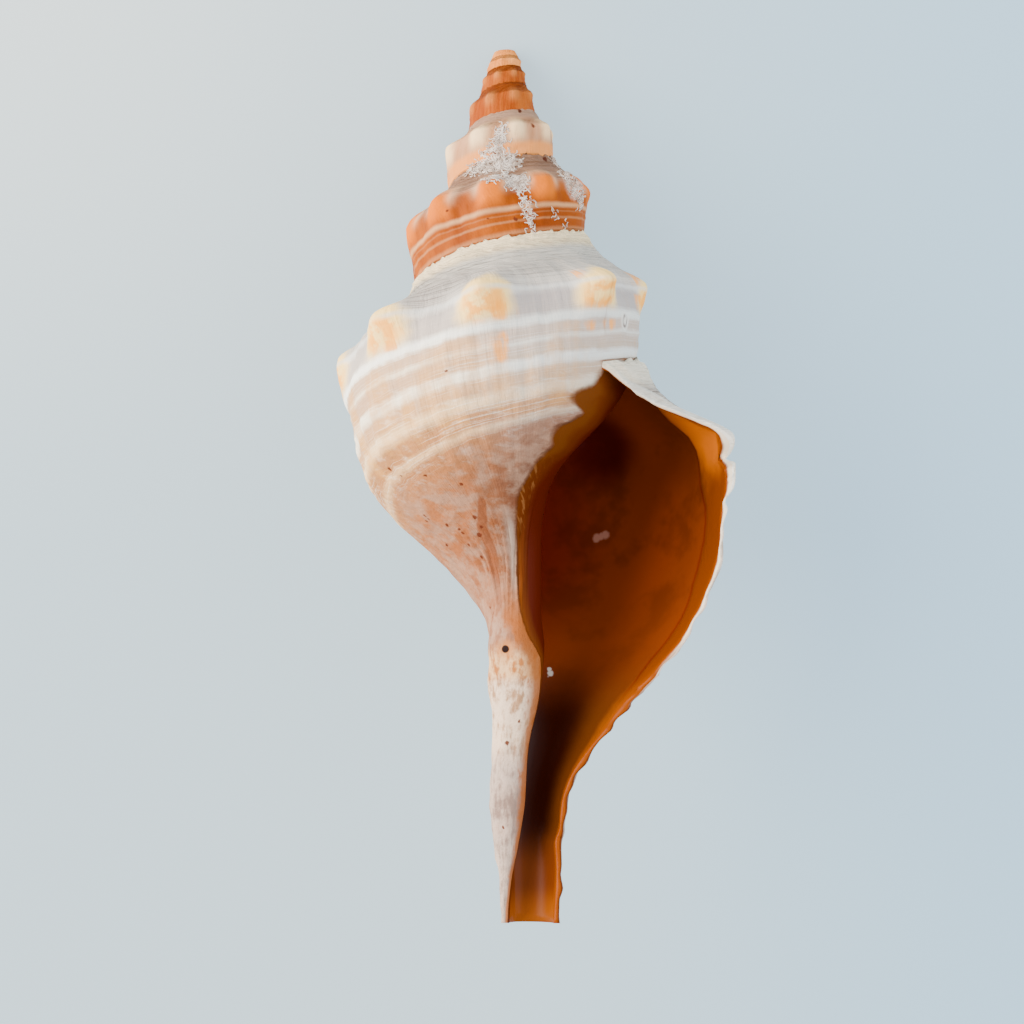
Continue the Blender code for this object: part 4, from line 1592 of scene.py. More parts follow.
@dataclass(frozen=True)
class OuterFinish:
    """The sea-worn outside: white cords over tan bands, cream knobs, an orange spire.

    A zone is (own depth, colour with painted shade, colour with painted sunlight).
    """

    roughness: Pair = (0.46, 0.55)
    shine: float = 0.05
    relief_depth: float = 0.0009
    relief_strength: float = 0.9
    spire_turns: Pair = (-1.24, -1.28)
    older_turns: Points = ((-2.15, -2.25), (-3.15, -3.22), (-4.9, -5.9))

    zones: Zones = (
        (97.0, (0.42, 0.35, 0.31), (0.62, 0.54, 0.45)),
        (98.7, (0.6, 0.55, 0.49), (0.9, 0.84, 0.73)),
        (99.8, (0.66, 0.63, 0.57), (0.96, 0.89, 0.76)),
        (101.5, (0.42, 0.36, 0.33), (0.6, 0.49, 0.4)),
        (107.0, (0.42, 0.36, 0.32), (0.6, 0.48, 0.38)),
        (109.3, (0.66, 0.64, 0.58), (0.96, 0.9, 0.78)),
        (110.7, (0.64, 0.62, 0.56), (0.95, 0.87, 0.73)),
        (112.0, (0.48, 0.37, 0.3), (0.58, 0.37, 0.23)),
        (114.7, (0.47, 0.36, 0.29), (0.56, 0.35, 0.21)),
        (116.2, (0.6, 0.56, 0.49), (0.86, 0.68, 0.47)),
        (117.7, (0.46, 0.35, 0.28), (0.56, 0.33, 0.19)),
        (121.0, (0.45, 0.34, 0.26), (0.54, 0.31, 0.17)),
        (122.7, (0.63, 0.62, 0.58), (0.94, 0.8, 0.6)),
        (124.4, (0.6, 0.58, 0.53), (0.92, 0.75, 0.53)),
        (126.1, (0.44, 0.31, 0.22), (0.53, 0.28, 0.13)),
        (129.2, (0.43, 0.3, 0.21), (0.52, 0.26, 0.11)),
        (131.2, (0.58, 0.48, 0.37), (0.84, 0.54, 0.27)),
        (133.0, (0.56, 0.45, 0.33), (0.8, 0.47, 0.21)),
        (134.8, (0.34, 0.18, 0.1), (0.43, 0.18, 0.06)),
        (137.8, (0.31, 0.16, 0.09), (0.41, 0.165, 0.055)),
        (139.6, (0.46, 0.33, 0.23), (0.7, 0.4, 0.18)),
        (141.6, (0.24, 0.12, 0.075), (0.39, 0.15, 0.05)),
        (150.0, (0.155, 0.064, 0.038), (0.34, 0.11, 0.035)),
        (161.0, (0.12, 0.048, 0.028), (0.27, 0.08, 0.025)),
    )
    streak_cool: Colour = (0.66, 0.62, 0.56)
    # The growth streaks' white under painted sunlight, on the left of the last turn.
    streak_painted_sunlit: Colour = (0.94, 0.82, 0.64)
    band_orange: Colour = (0.66, 0.30, 0.07)
    low_light: Colour = (0.36, 0.21, 0.135)
    ramp_light: Colour = (0.52, 0.45, 0.38)
    ramp_dark: Colour = (0.16, 0.13, 0.11)
    ramp_white: Colour = (0.76, 0.69, 0.57)
    collar: Colour = (0.98, 0.76, 0.45)
    collar_fold: Colour = (0.60, 0.44, 0.27)
    knob_cream: Colour = (1.0, 0.64, 0.21)
    # Painted shade, laid in the valleys between the knobs and round their arches.
    valley_shade: Colour = (0.36, 0.29, 0.26)
    knob_orange: Colour = (1.0, 0.33, 0.012)
    neck: Colour = (0.25, 0.105, 0.055)
    neck_orange: Colours = ((0.36, 0.12, 0.03), (0.66, 0.38, 0.18))
    neck_white: Colours = ((0.33, 0.175, 0.09), (0.68, 0.48, 0.33))
    neck_grey: Colours = ((0.23, 0.145, 0.11), (0.50, 0.36, 0.28))
    beside_glaze: Colour = (0.47, 0.34, 0.25)
    low_edge: Colour = (0.27, 0.070, 0.011)
    stain: Colour = (0.20, 0.055, 0.018)
    pit: Colour = (0.10, 0.020, 0.007)
    # Near-black painted shade inside the open hole.
    hole: Colour = (0.012, 0.004, 0.003)
    hole_rim: Colour = (0.50, 0.17, 0.04)
    ring_pale: Colour = (0.70, 0.64, 0.56)
    ring_dark: Colour = (0.10, 0.055, 0.04)
    crack: Colour = (0.26, 0.10, 0.04)
    crease_turn: float = -0.857
    veil: Colour = (0.60, 0.50, 0.42)
    glaze_edge: Colour = (0.105, 0.026, 0.002)
    glaze_low: Colour = (0.105, 0.023, 0.001)
    glaze_streak: Colour = (0.20, 0.075, 0.02)
    glaze_brown: Colour = (0.085, 0.015, 0.0004)
    glaze_dark: Colour = (0.062, 0.005, 0.0)
    edge_pale: Colour = (0.86, 0.78, 0.66)
    edge_pink: Colour = (0.72, 0.54, 0.42)
    edge_orange: Colour = (0.12, 0.022, 0.0005)
    spire_dark: Colour = (0.20, 0.034, 0.001)
    spire_light: Colour = (0.34, 0.070, 0.002)
    spire_line: Colour = (0.58, 0.29, 0.13)
    spire_ramp: Colours = ((0.21, 0.10, 0.055), (0.34, 0.185, 0.115))
    spire_knob: Colour = (0.62, 0.13, 0.0)
    # A painted highlight: the pale rim round each knob of the earlier turns.
    spire_highlight: Colour = (0.66, 0.38, 0.21)
    faded: Colours = ((0.40, 0.17, 0.075), (0.56, 0.28, 0.145))
    bead: Colour = (0.92, 0.60, 0.31)
    faded_ramp: Colour = (0.50, 0.30, 0.20)
    faded_low: Colour = (0.78, 0.25, 0.04)
    early: Colours = ((0.26, 0.042, 0.002), (0.38, 0.085, 0.008))
    early_bead: Colour = (0.48, 0.15, 0.03)
    early_seam: Colour = (0.21, 0.042, 0.005)
    tip: Colours = ((0.66, 0.18, 0.02), (0.86, 0.34, 0.09))
    halo_at: Spot = (-6.0, -31.6, 67.7)
    ring_at: Spot = (22.2, 37.1, 43.7)
    orange_spots: Marks = (
        ((-2.2, 44.8, 63.4), 4.2), ((-1.1, 42.6, 62.9), 3.5), ((16.6, 44.2, 53.4), 3.7),
        ((18.2, 43.6, 52.2), 2.9), ((12.6, 49.9, 50.7), 3.1), ((23.1, 43.7, 26.9), 3.7),
        ((24.4, 39.0, 29.4), 3.5), ((-26.2, 40.4, 60.5), 3.1), ((-27.8, 36.9, 60.5), 2.7),
        ((19.4, 38.4, 49.4), 2.9), ((-1.8, 38.2, 64.2), 3.3), ((-2.9, 36.2, 65.6), 3.1),
        ((15.6, 39.2, 54.3), 2.5),
    )
    veils: Marks = (
        ((-6.3, 71.0, 28.0), 5.0), ((-1.6, 68.0, 35.0), 3.4), ((10.6, 64.6, 26.4), 3.6),
        ((-5.9, 76.2, 24.2), 1.8), ((1.2, 62.0, 38.0), 1.6),
    )
    pits: Marks = (
        ((-14.7, 32.5, 66.9), 0.61), ((-30.8, 8.5, 59.3), 0.81), ((-27.8, 7.5, 60.9), 0.49),
        ((-21.8, 8.3, 63.8), 0.58), ((-13.8, 6.1, 64.5), 0.58), ((-23.8, -3.0, 57.4), 0.61),
        ((-23.0, -4.0, 57.2), 0.54), ((-23.7, -4.9, 56.0), 0.61), ((-18.6, -4.9, 59.1), 0.57),
        ((-15.8, -5.7, 59.9), 0.51), ((-15.0, -6.7, 59.9), 0.51), ((-11.7, -2.3, 61.8), 0.74),
        ((-10.6, -4.9, 61.1), 0.61), ((-11.3, -7.0, 60.5), 0.84), ((-13.9, -9.7, 59.2), 0.61),
        ((-19.8, -11.1, 54.7), 0.70), ((-11.3, -12.6, 59.6), 0.61), ((-10.1, -24.1, 60.8), 0.61),
        ((-9.1, -25.1, 62.0), 0.51), ((-9.1, -26.1, 61.8), 0.51), ((-3.2, -47.1, 72.3), 0.61),
        ((-6.0, -51.8, 73.8), 0.61), ((-7.3, -69.7, 79.6), 0.49), ((-7.3, 73.2, 25.4), 0.74),
        ((3.6, 70.7, 21.0), 0.84), ((-16.9, 62.2, 37.0), 0.68), ((-7.4, 60.6, 40.4), 0.57),
        ((-1.6, 60.2, 39.6), 0.57), ((-12.8, 81.4, 12.3), 0.84), ((-2.5, 81.3, 15.1), 0.74),
        ((1.0, 78.4, 18.7), 0.81),
    )

    def material(self) -> bpy.types.Material:
        """Makes the material.

        Returns:
            Zones by turn and own depth, painted from the oldest layer to the newest.
        """
        at = Surface("worn_outside")
        at.colour = self._body(at)
        self._shoulder(at)
        self._low_body(at)
        streaky = at.turn + (at.growth - 0.5) * 0.10
        at.lay(streaky.ease(*self.spire_turns), self._spire(at))
        for layer in (self._neck, self._scars, self._edge):
            layer(at)
        past = at.glaze + at.cloudy * 9.0 + at.mottled * 5.0
        covered = at.own.ease(125.0, 126.5) * at.depth.ease(79.0, 81.5)
        glaze = past.ease(-2.5, 2.5) * covered * at.turn.ease(-0.55, -0.65)
        tongue = at.depth.ease(86.0, 89.0) * at.depth.ease(104.0, 99.0)
        inward = past - at.depth.ease(112.0, 126.0) * 7.0 - tongue * 12.0
        rim = at.mix(at.depth.ease(104.0, 116.0), self.glaze_edge, self.glaze_low)
        sheen = at.mix(inward.ease(-2.0, 9.0), rim, self.glaze_brown)
        sheen = at.mix(inward.ease(8.0, 24.0), sheen, self.glaze_dark)
        thin = at.streaks(at.turn * 70.0 + at.depth * 0.5, at.depth * 0.3, 0.0, 3.0)
        thin = thin.ease(0.53, 0.62) * past.ease(17.0, 10.0)
        thin = thin * at.depth.ease(101.0, 105.0) * at.depth.ease(119.0, 114.0)
        sheen = at.mix(thin * 0.7, sheen, self.glaze_streak)
        at.lay(glaze, sheen)
        ridges = (at.spiral - 0.5) * at.own.ease(97.0, 91.0) * 1.8
        lumps = at.noise(at.place, 190.0, 5.0, 0.62) * at.own.ease(120.0, 138.0)
        lines = (at.fine_growth * 0.35 + at.growth * 0.5) * at.depth.ease(138.0, 116.0)
        relief = at.mottle * 0.5 + lines + ridges + lumps * 1.1
        relief = relief * (1.0 - glaze * 0.85)
        normal = at.bump(relief, self.relief_depth, self.relief_strength)
        bare, glazed = self.roughness
        rough = at.blend(glaze, bare + at.mottle * 0.2, glazed)
        return at.finish(
            {"Base Color": at.colour, "Roughness": rough, "Normal": normal},
            {"Specular IOR Level": self.shine},
        )

    def _flow(self, at: Surface) -> Wire:
        """Blotches of a few millimetres, longer round the whorl than down it."""
        return at.streaks(at.along * 0.26, at.down * 0.62 + at.cloud * 3.0, 2.0, 5.0, 0.66)

    def _zones(self, at: Surface, own: Wire, light: Light) -> Wire:
        """The cords' and bands' colour under one of the two painted lights, read from the table of
        zones.
        """
        (low, *_), (high, *_) = self.zones[0], self.zones[-1]
        return at.ramp(
            (own - low) / (high - low),
            [((zone[0] - low) / (high - low), zone[light]) for zone in self.zones],
        )

    def _body(self, at: Surface) -> Wire:
        """White cords over tan and orange bands, warmer to the left with painted sunlight, crossed
        by growth lines.

        Args:
            at: The surface being painted.

        Returns:
            The colour below the shoulder.
        """
        flow = self._flow(at)
        own = at.own + at.cloudy * 2.0 + (at.growth - 0.5) * 1.6 + (flow - 0.5) * 2.2
        degrees = at.turn * 360.0 + at.cloudy * 40.0
        # Painted sunlight: side is 1 over the left of the last turn, where the sunlit zones, the
        # warm streak white and more orange tint are laid; the shaded zones stand elsewhere.
        side = degrees.ease(-282.0, -226.0) * degrees.ease(-90.0, -150.0)
        shaded = self._zones(at, own, Light.SHADED)
        colour = at.mix(side, shaded, self._zones(at, own, Light.SUNLIT))
        white = at.mix(side, self.streak_cool, self.streak_painted_sunlit)
        patches = at.streaks(at.along * 0.16, at.down * 0.03, 11.0, 3.0, 0.55)
        tint = (patches + at.mottled * 0.3).ease(0.46, 0.66)
        tint = tint * own.ease(110.5, 113.0) * own.ease(141.0, 136.0)
        colour = at.mix(tint * (0.42 + side * 0.15), colour, self.band_orange)
        streaks = at.growth.ease(0.52, 0.74) * 0.22 + at.fine_growth.ease(0.5, 0.8) * 0.06
        colour = at.mix(streaks * own.ease(136.0, 122.0), colour, white)
        thread = at.streaks(at.along * 0.05, at.own * 2.3 + at.cloud * 4.0, 8.0, 4.0, 0.65)
        on_body = own.ease(99.0, 110.0) * own.ease(146.0, 136.0)
        colour = at.mix(thread.ease(0.54, 0.66) * on_body * 0.42, colour, white)
        colour = at.mix(thread.ease(0.46, 0.34) * on_body * 0.28, colour, self.low_light)
        blotch = flow.ease(0.50, 0.72) * own.ease(112.0, 126.0)
        return at.mix(blotch * own.ease(150.0, 142.0) * 0.28, colour, white)

    def _shoulder(self, at: Surface) -> None:
        """The grey ribbed ramp, the cream and orange knobs with painted shade in the valleys
        between them, and the ruffled collar.

        Args:
            at: The surface being painted.
        """
        own = at.own + at.cloudy * 2.4
        lines = at.streaks(at.along * 0.06, at.own * 2.6 + at.cloud * 5.0, 5.0, 4.0, 0.68)
        ramp = at.mix(lines.ease(0.36, 0.53), self.ramp_dark, self.ramp_light)
        whiter = (at.turn * 360.0).ease(-250.0, -300.0)
        broad = at.cloud.ease(0.42, 0.62)
        ramp = at.mix(whiter * 0.35 + broad * 0.25, ramp, self.ramp_white)
        ramp = at.mix(at.growth.ease(0.54, 0.70) * 0.45, ramp, self.ramp_white)
        at.lay(own.ease(99.0, 96.5), ramp)
        across = at.knob + at.mottled * 0.25 + at.cloudy * 0.45
        near = own + at.mottled * 1.5
        arch = near + across * 8.5
        # Painted shade: the valley colour darkens the ramp round each knob's arch and the gaps
        # between the knobs.
        dip_shade = arch.ease(106.0, 97.0) * near.ease(84.0, 91.0) * 0.30
        gap = across.ease(0.55, 0.05) * near.ease(97.0, 100.0) * near.ease(109.0, 107.0)
        at.lay(dip_shade + gap * 0.45, self.valley_shade)
        shape = arch.ease(99.5, 104.0) * near.ease(110.0, 105.0)
        lower = near.ease(98.5, 101.0)
        face = shape * lower
        at.lay(shape * across.ease(0.16, 0.60), self.knob_cream)
        core = face * across.ease(0.40, 0.85) * at.mottle.ease(0.40, 0.56)
        at.lay(core * 0.75, self.knob_orange)
        cord = (at.own + at.cloudy * 1.6).bell(98.9, 1.5)
        at.lay(cord * across.ease(1.15, 0.75) * 0.6, self.streak_cool)
        where = at.shift(at.place, 240.0, 0.0035)
        spots = at.spots(where, self.orange_spots, 0.0)
        bands = near.ease(100.4, 102.0) + near.ease(99.0, 97.6)
        low_bands = near.ease(109.0, 107.8) + near.ease(111.2, 112.6)
        spots = spots * bands.least(1.0) * low_bands.least(1.0) * at.growth.ease(0.42, 0.56)
        at.lay((spots * 1.8).least(1.0) * 0.7, self.knob_orange)
        fold = at.streaks(at.along * 1.1, at.own * 0.5, 9.0, 3.0, 0.6)
        collar = at.mix(fold.ease(0.56, 0.40) * own.ease(78.5, 82.0), self.collar,
                        self.collar_fold)
        collar = at.mix(at.turn.ease(-0.06, 0.0) * 0.75, collar, self.ramp_white)
        edge = (own + (fold - 0.5) * 3.0).ease(84.0, 80.5)
        at.lay(edge, collar)

    def _low_body(self, at: Surface) -> None:
        """Pale lines and a rusty streak below the cords, and a whitish strip by the glaze.

        Args:
            at: The surface being painted.
        """
        down = (at.own + at.cloudy * 8.0).ease(139.0, 148.0)
        flow = self._flow(at) * 0.4 + at.noise(at.place, 150.0, 5.0, 0.6) * 0.6
        at.lay(down * flow.ease(0.42, 0.60) * 0.65, self.low_light)
        strip = (at.glaze + at.mottled * 8.0).bell(-9.0, 9.0)
        strip = strip * at.depth.ease(112.0, 118.0) * at.depth.ease(138.0, 128.0)
        at.lay(strip * 0.7, self.beside_glaze)
        rust = (at.stain + at.mottled * 0.35 + (flow - 0.5) * 0.4).ease(0.38, 0.72)
        at.lay(rust * 0.85, self.stain)

    def _neck(self, at: Surface) -> None:
        """The canal's outside: tan, then white with orange clouds, then lilac grey.

        Args:
            at: The surface being painted.
        """
        depth = at.depth + at.cloudy * 8.0
        flow = at.streaks(at.turn * 26.0, at.depth * 0.22, 4.0, 5.0, 0.62)
        flow = flow * 0.5 + at.noise(at.place, 230.0, 5.0, 0.62) * 0.5
        tan = at.mix(flow.ease(0.42, 0.56), self.neck, self.low_light)
        orange = at.mix(flow.ease(0.42, 0.57), *self.neck_orange)
        white = at.mix(flow.ease(0.40, 0.55), *self.neck_white)
        grey = at.mix((at.cloud * 0.4 + flow * 0.6).ease(0.42, 0.56), *self.neck_grey)
        grey = at.mix(flow.ease(0.5, 0.7) * 0.4, grey, self.neck)
        low = at.own.ease(140.0, 150.0)
        at.lay(depth.ease(122.0, 140.0) * low * 0.75, tan)
        at.lay(depth.ease(142.0, 147.0) * low, orange)
        at.lay(depth.ease(150.0, 154.0) * low, white)
        at.lay(depth.ease(164.0, 172.0) * low, grey)
        rim = (at.glaze + (flow - 0.5) * 130.0).ease(-52.0, -22.0) * at.depth.ease(126, 138)
        at.lay(rim * 0.9, self.low_edge)

    def _scars(self, at: Surface) -> None:
        """Small bored pits, one open hole whose near-black inside is painted shade, a barnacle's
        ring, a crack and the crust's veil.

        Args:
            at: The surface being painted.
        """
        where = at.shift(at.place, 900.0, 0.0011)
        veil = at.spots(where, self.veils, 0.35) * at.mottle.ease(0.36, 0.56)
        at.lay(veil * 0.75, self.veil)
        pits = (at.spots(where, self.pits, 0.30) * 1.4).least(0.95)
        at.lay(pits, self.pit)
        hole = at.away(where, self.halo_at)
        at.lay(hole.ease(3.2, 1.2) * 0.6, self.hole_rim)
        # Painted shade: the near-black inside of the open hole.
        at.lay(at.away(at.place, self.halo_at).ease(1.05, 0.8), self.hole)
        ring = at.away(at.place, self.ring_at) + at.mottled * 0.5
        at.lay(ring.ease(2.8, 1.8) * 0.8, self.ring_pale)
        broken = ring.bell(1.25, 0.70) * at.fine_growth.ease(0.40, 0.52)
        at.lay(broken * 0.9, self.ring_dark)
        fold = at.turn + at.mottled * 0.004 + (at.own - 105.0) * 0.0007
        crease = fold.bell(self.crease_turn, 0.0028) * at.own.ease(92.0, 95.0)
        crease = crease * at.own.ease(119.0, 114.0)
        at.lay(crease * at.fine_growth.ease(0.35, 0.6) * 0.35, self.crack)
        line = (at.own + at.mottled * 0.8).bell(125.7, 0.55)
        line = line * at.turn.ease(-0.845, -0.865) * at.turn.ease(-1.02, -0.99)
        at.lay(line * 0.8, self.crack)

    def _edge(self, at: Surface) -> None:
        """The lip's edge: whitish at the shoulder, pink beside the body, orange at the canal.

        Args:
            at: The surface being painted.
        """
        pink = at.depth.ease(112.0, 122.0)
        edge = at.mix(pink, self.edge_pale, self.edge_pink)
        edge = at.mix(at.depth.ease(146.0, 158.0), edge, self.edge_orange)
        near = (at.behind + at.mottled * 2.0).ease(3.0, 0.5) * at.turn.ease(-0.3, -0.2)
        shown = at.share.ease(-0.02, -0.12).most(near * 0.7)
        at.lay(shown * at.depth.ease(84.0, 88.0), edge)

    def _spire(self, at: Surface) -> Wire:
        """The earlier turns: orange with pale lines and a painted highlight round each knob, a
        bleached turn, and an orange tip.

        Args:
            at: The surface being painted.

        Returns:
            The colour of the turns before the last.
        """
        own = at.own + at.cloudy * 1.6 + (at.growth - 0.5) * 1.0
        lines = own.bell(111.0, 2.4) + own.bell(118.2, 1.2) * 0.4 + own.bell(114.6, 0.8) * 0.2
        lines = lines + own.bell(124.5, 2.4) * 0.4
        vary = at.growth.ease(0.35, 0.7)
        orange = at.mix(vary, self.spire_dark, self.spire_light)
        orange = at.mix(lines * (at.growth * 0.5 + 0.55), orange, self.spire_line)
        mauve = at.mix(at.spiral.ease(0.4, 0.6), *self.spire_ramp)
        above = (at.own + at.cloudy * 4.0 - at.knob * 5.0).ease(99.0, 92.0)
        orange = at.mix(above, orange, mauve)
        across = at.knob + at.cloudy * 0.35
        # Painted highlight: a pale rim round each knob of the turns before the last.
        knob_highlight = across.ease(0.05, 0.55) * own.ease(86.0, 93.0) * own.ease(105.0, 96.0)
        orange = at.mix(knob_highlight * 0.8, orange, self.spire_highlight)
        on_knob = own.ease(88.0, 96.5) * own.ease(112.0, 103.0)
        orange = at.mix(across.ease(0.25, 0.85) * on_knob, orange, self.spire_knob)
        faded = at.mix(vary, *self.faded)
        bead = across.ease(0.02, 0.90) * own.ease(82.0, 96.0) * own.ease(117.0, 102.0)
        faded = at.mix(at.own.ease(90.0, 82.0) * 0.7, faded, self.faded_ramp)
        faded = at.mix(own.ease(110.0, 116.0) * 0.75, faded, self.faded_low)
        faded = at.mix(bead * 0.9, faded, self.bead)
        early = at.mix(vary, *self.early)
        early = at.mix(bead * 0.7, early, self.early_bead)
        early = at.mix(own.bell(78.5, 3.0) * 0.7, early, self.early_seam)
        tip = at.mix(at.cloud.ease(0.4, 0.6), *self.tip)
        colour = orange
        for turns, over in zip(self.older_turns, (faded, early, tip)):
            colour = at.mix(at.turn.ease(*turns), colour, over)
        return colour


@dataclass(frozen=True)
class InnerFinish:
    """The polished inside of the aperture: red-brown, darker within as painted shade, orange at the
    lip.
    """

    roughness: float = 0.32
    shine: float = 0.07
    relief_depth: float = 0.0006
    relief_strength: float = 0.5
    # Near-black, laid as painted shade and a painted shadow deep in the hollow, and as a thin line
    # beside the lip band.
    dark: Colour = (0.10, 0.0009, 0.0001)
    brown: Colour = (0.175, 0.0085, 0.0005)
    red: Colour = (0.27, 0.040, 0.004)
    right: Colour = (0.175, 0.030, 0.0036)
    lip: Colour = (0.16, 0.030, 0.0010)
    lip_bright: Colour = (0.60, 0.135, 0.0003)
    rim: Colour = (0.86, 0.68, 0.50)
    rim_orange: Colour = (0.20, 0.037, 0.0)
    canal: Colour = (0.028, 0.0032, 0.0004)
    canal_brown: Colour = (0.085, 0.020, 0.002)
    canal_bright: Colour = (0.24, 0.052, 0.001)
    canal_end: Colour = (0.115, 0.021, 0.0012)
    # A painted highlight: the soft pale reflection of a light on the gloss, laid as three spots in
    # a row.
    spot: Colour = (0.50, 0.22, 0.15)
    chip: Colour = (0.50, 0.42, 0.36)
    shade_at: Spot = (12.2, -2.3, 5.2)
    spots: Marks = (
        ((10.6, -22.9, 16.2), 1.5), ((11.7, -22.5, 16.4), 1.3), ((12.8, -22.0, 16.6), 1.5),
    )
    chips: Marks = (
        ((1.9, -44.1, 51.6), 0.9), ((1.5, -43.5, 50.8), 0.7), ((1.2, -44.9, 52.0), 0.6),
    )

    def material(self) -> bpy.types.Material:
        """Makes the material.

        Returns:
            Colour by the way back from the lip and down the axis, under a soft gloss.
        """
        at = Surface("polished_inside")
        wash = at.noise(at.place, 22.0, 3.0, 0.5)
        low = at.depth + (wash - 0.5) * 6.0
        at.colour = self._hollow(at, wash, low)
        self._canal(at, low)
        edge = at.band + at.mottled * 1.6
        bright = (at.own + at.cloudy * 22.0).bell(94.0, 15.0)
        lip = at.mix(bright, self.lip, self.lip_bright)
        on_body = low.ease(158.0, 148.0)
        at.lay(edge.ease(1.0, -0.6) * on_body, lip)
        at.lay(edge.bell(1.3, 1.4) * on_body * 0.5, self.dark)
        near = (at.behind + at.mottled * 3.0).ease(4.5, 0.0)
        at.lay(near * 0.75, self.rim_orange)
        self._rim(at)
        where = at.shift(at.place, 500.0, 0.0008)
        # Painted highlight: the pale reflection on the gloss.
        at.lay(at.spots(where, self.spots, 0.45) * 0.85, self.spot)
        at.lay(at.spots(where, self.chips, 0.5), self.chip)
        normal = at.bump(wash * 0.5 + at.mottle * 0.08 + edge.ease(1.5, -1.5) * 0.9,
                         self.relief_depth, self.relief_strength)
        return at.finish(
            {"Base Color": at.colour, "Normal": normal},
            {"Roughness": self.roughness, "Specular IOR Level": self.shine},
        )

    def _hollow(self, at: Surface, wash: Wire, low: Wire) -> Wire:
        """The wide part: red-brown, darkened the further in by painted shade, with one near-black
        painted shadow.

        Args:
            at: The surface being painted.
            wash: Broad clouds.
            low: Depth, made uneven.

        Returns:
            The colour.
        """
        back = at.behind + (wash - 0.5) * 22.0
        colour = at.mix(back.ease(24.0, 48.0), self.right, self.red)
        # Painted shade: towards brown and then near-black the further behind the lip, where the
        # body whorl overhangs the hollow.
        colour = at.mix(back.ease(58.0, 95.0), colour, self.brown)
        colour = at.mix(back.ease(100.0, 180.0), colour, self.dark)
        smudge = at.noise(at.place, 55.0, 4.0, 0.62).ease(0.48, 0.66)
        colour = at.mix(smudge * 0.35, colour, self.canal)
        # Painted shadow: a near-black blob round shade_at.
        shade = at.away(at.place, self.shade_at) + (wash - 0.5) * 8.0
        colour = at.mix(shade.ease(14.5, 4.0) * 0.85, colour, self.dark)
        return at.mix(low.ease(122.0, 140.0) * 0.5, colour, self.right)

    def _canal(self, at: Surface, low: Wire) -> None:
        """The canal: near-black along its left, brown then bright orange at its free edge.

        Args:
            at: The surface being painted.
            low: Depth, made uneven.
        """
        across = at.behind + at.mottled * 4.0
        canal = at.mix(across.ease(34.0, 14.0), self.canal, self.canal_brown)
        canal = at.mix(across.ease(10.0, 1.0), canal, self.canal_bright)
        end = at.mix(across.ease(9.0, 1.0), self.canal_end, self.canal_bright)
        end = at.mix(low.ease(197.0, 204.0) * 0.85, end, self.canal_bright)
        at.lay(low.ease(139.0, 160.0), canal)
        at.lay(low.ease(183.0, 194.0), end)

    def _rim(self, at: Surface) -> None:
        """The inner half of the lip's edge: a pale line outside, orange inside it.

        Args:
            at: The surface being painted.
        """
        on_edge = at.share.ease(-0.02, -0.10)
        pale = at.share.ease(-0.85, -0.60) * at.depth.ease(150.0, 138.0)
        at.lay(on_edge, self.rim_orange)
        at.lay(on_edge * pale, self.rim)


@dataclass(frozen=True)
class CrustFinish:
    """The dead white tubes on the spire: chalky, greyer in places."""

    white: Colour = (0.66, 0.56, 0.48)
    grey: Colour = (0.38, 0.28, 0.22)

    def material(self) -> bpy.types.Material:
        """Makes the material: chalk with cloudy grey and a fine grain.

        Returns:
            The material.
        """
        paint = Paint("chalky_tube")
        place = paint.here()
        cloud = paint.noise(place, 420.0, 3.0, 0.6)
        grain = paint.noise(place, 2600.0, 2.0, 0.5)
        colour = paint.mix(cloud.ease(0.36, 0.60), self.grey, self.white)
        normal = paint.bump(grain, 0.0001, 0.6)
        rough = 0.55 + grain * 0.3
        return paint.finish(
            {"Base Color": colour, "Roughness": rough, "Normal": normal},
            {"Specular IOR Level": 0.1},
        )


@dataclass(frozen=True)
class BreakFinish:
    """The rough broken end of the canal."""

    orange: Colour = (0.62, 0.15, 0.02)
    pale: Colour = (0.80, 0.50, 0.30)

    def material(self) -> bpy.types.Material:
        """Makes the material: a grainy orange fracture.

        Returns:
            The material.
        """
        paint = Paint("broken_end")
        grain = paint.noise(paint.here(), 700.0, 4.0, 0.6)
        colour = paint.mix(grain.ease(0.4, 0.65), self.orange, self.pale)
        normal = paint.bump(grain, 0.0008, 0.8)
        return paint.finish({"Base Color": colour, "Normal": normal}, {"Roughness": 0.6})


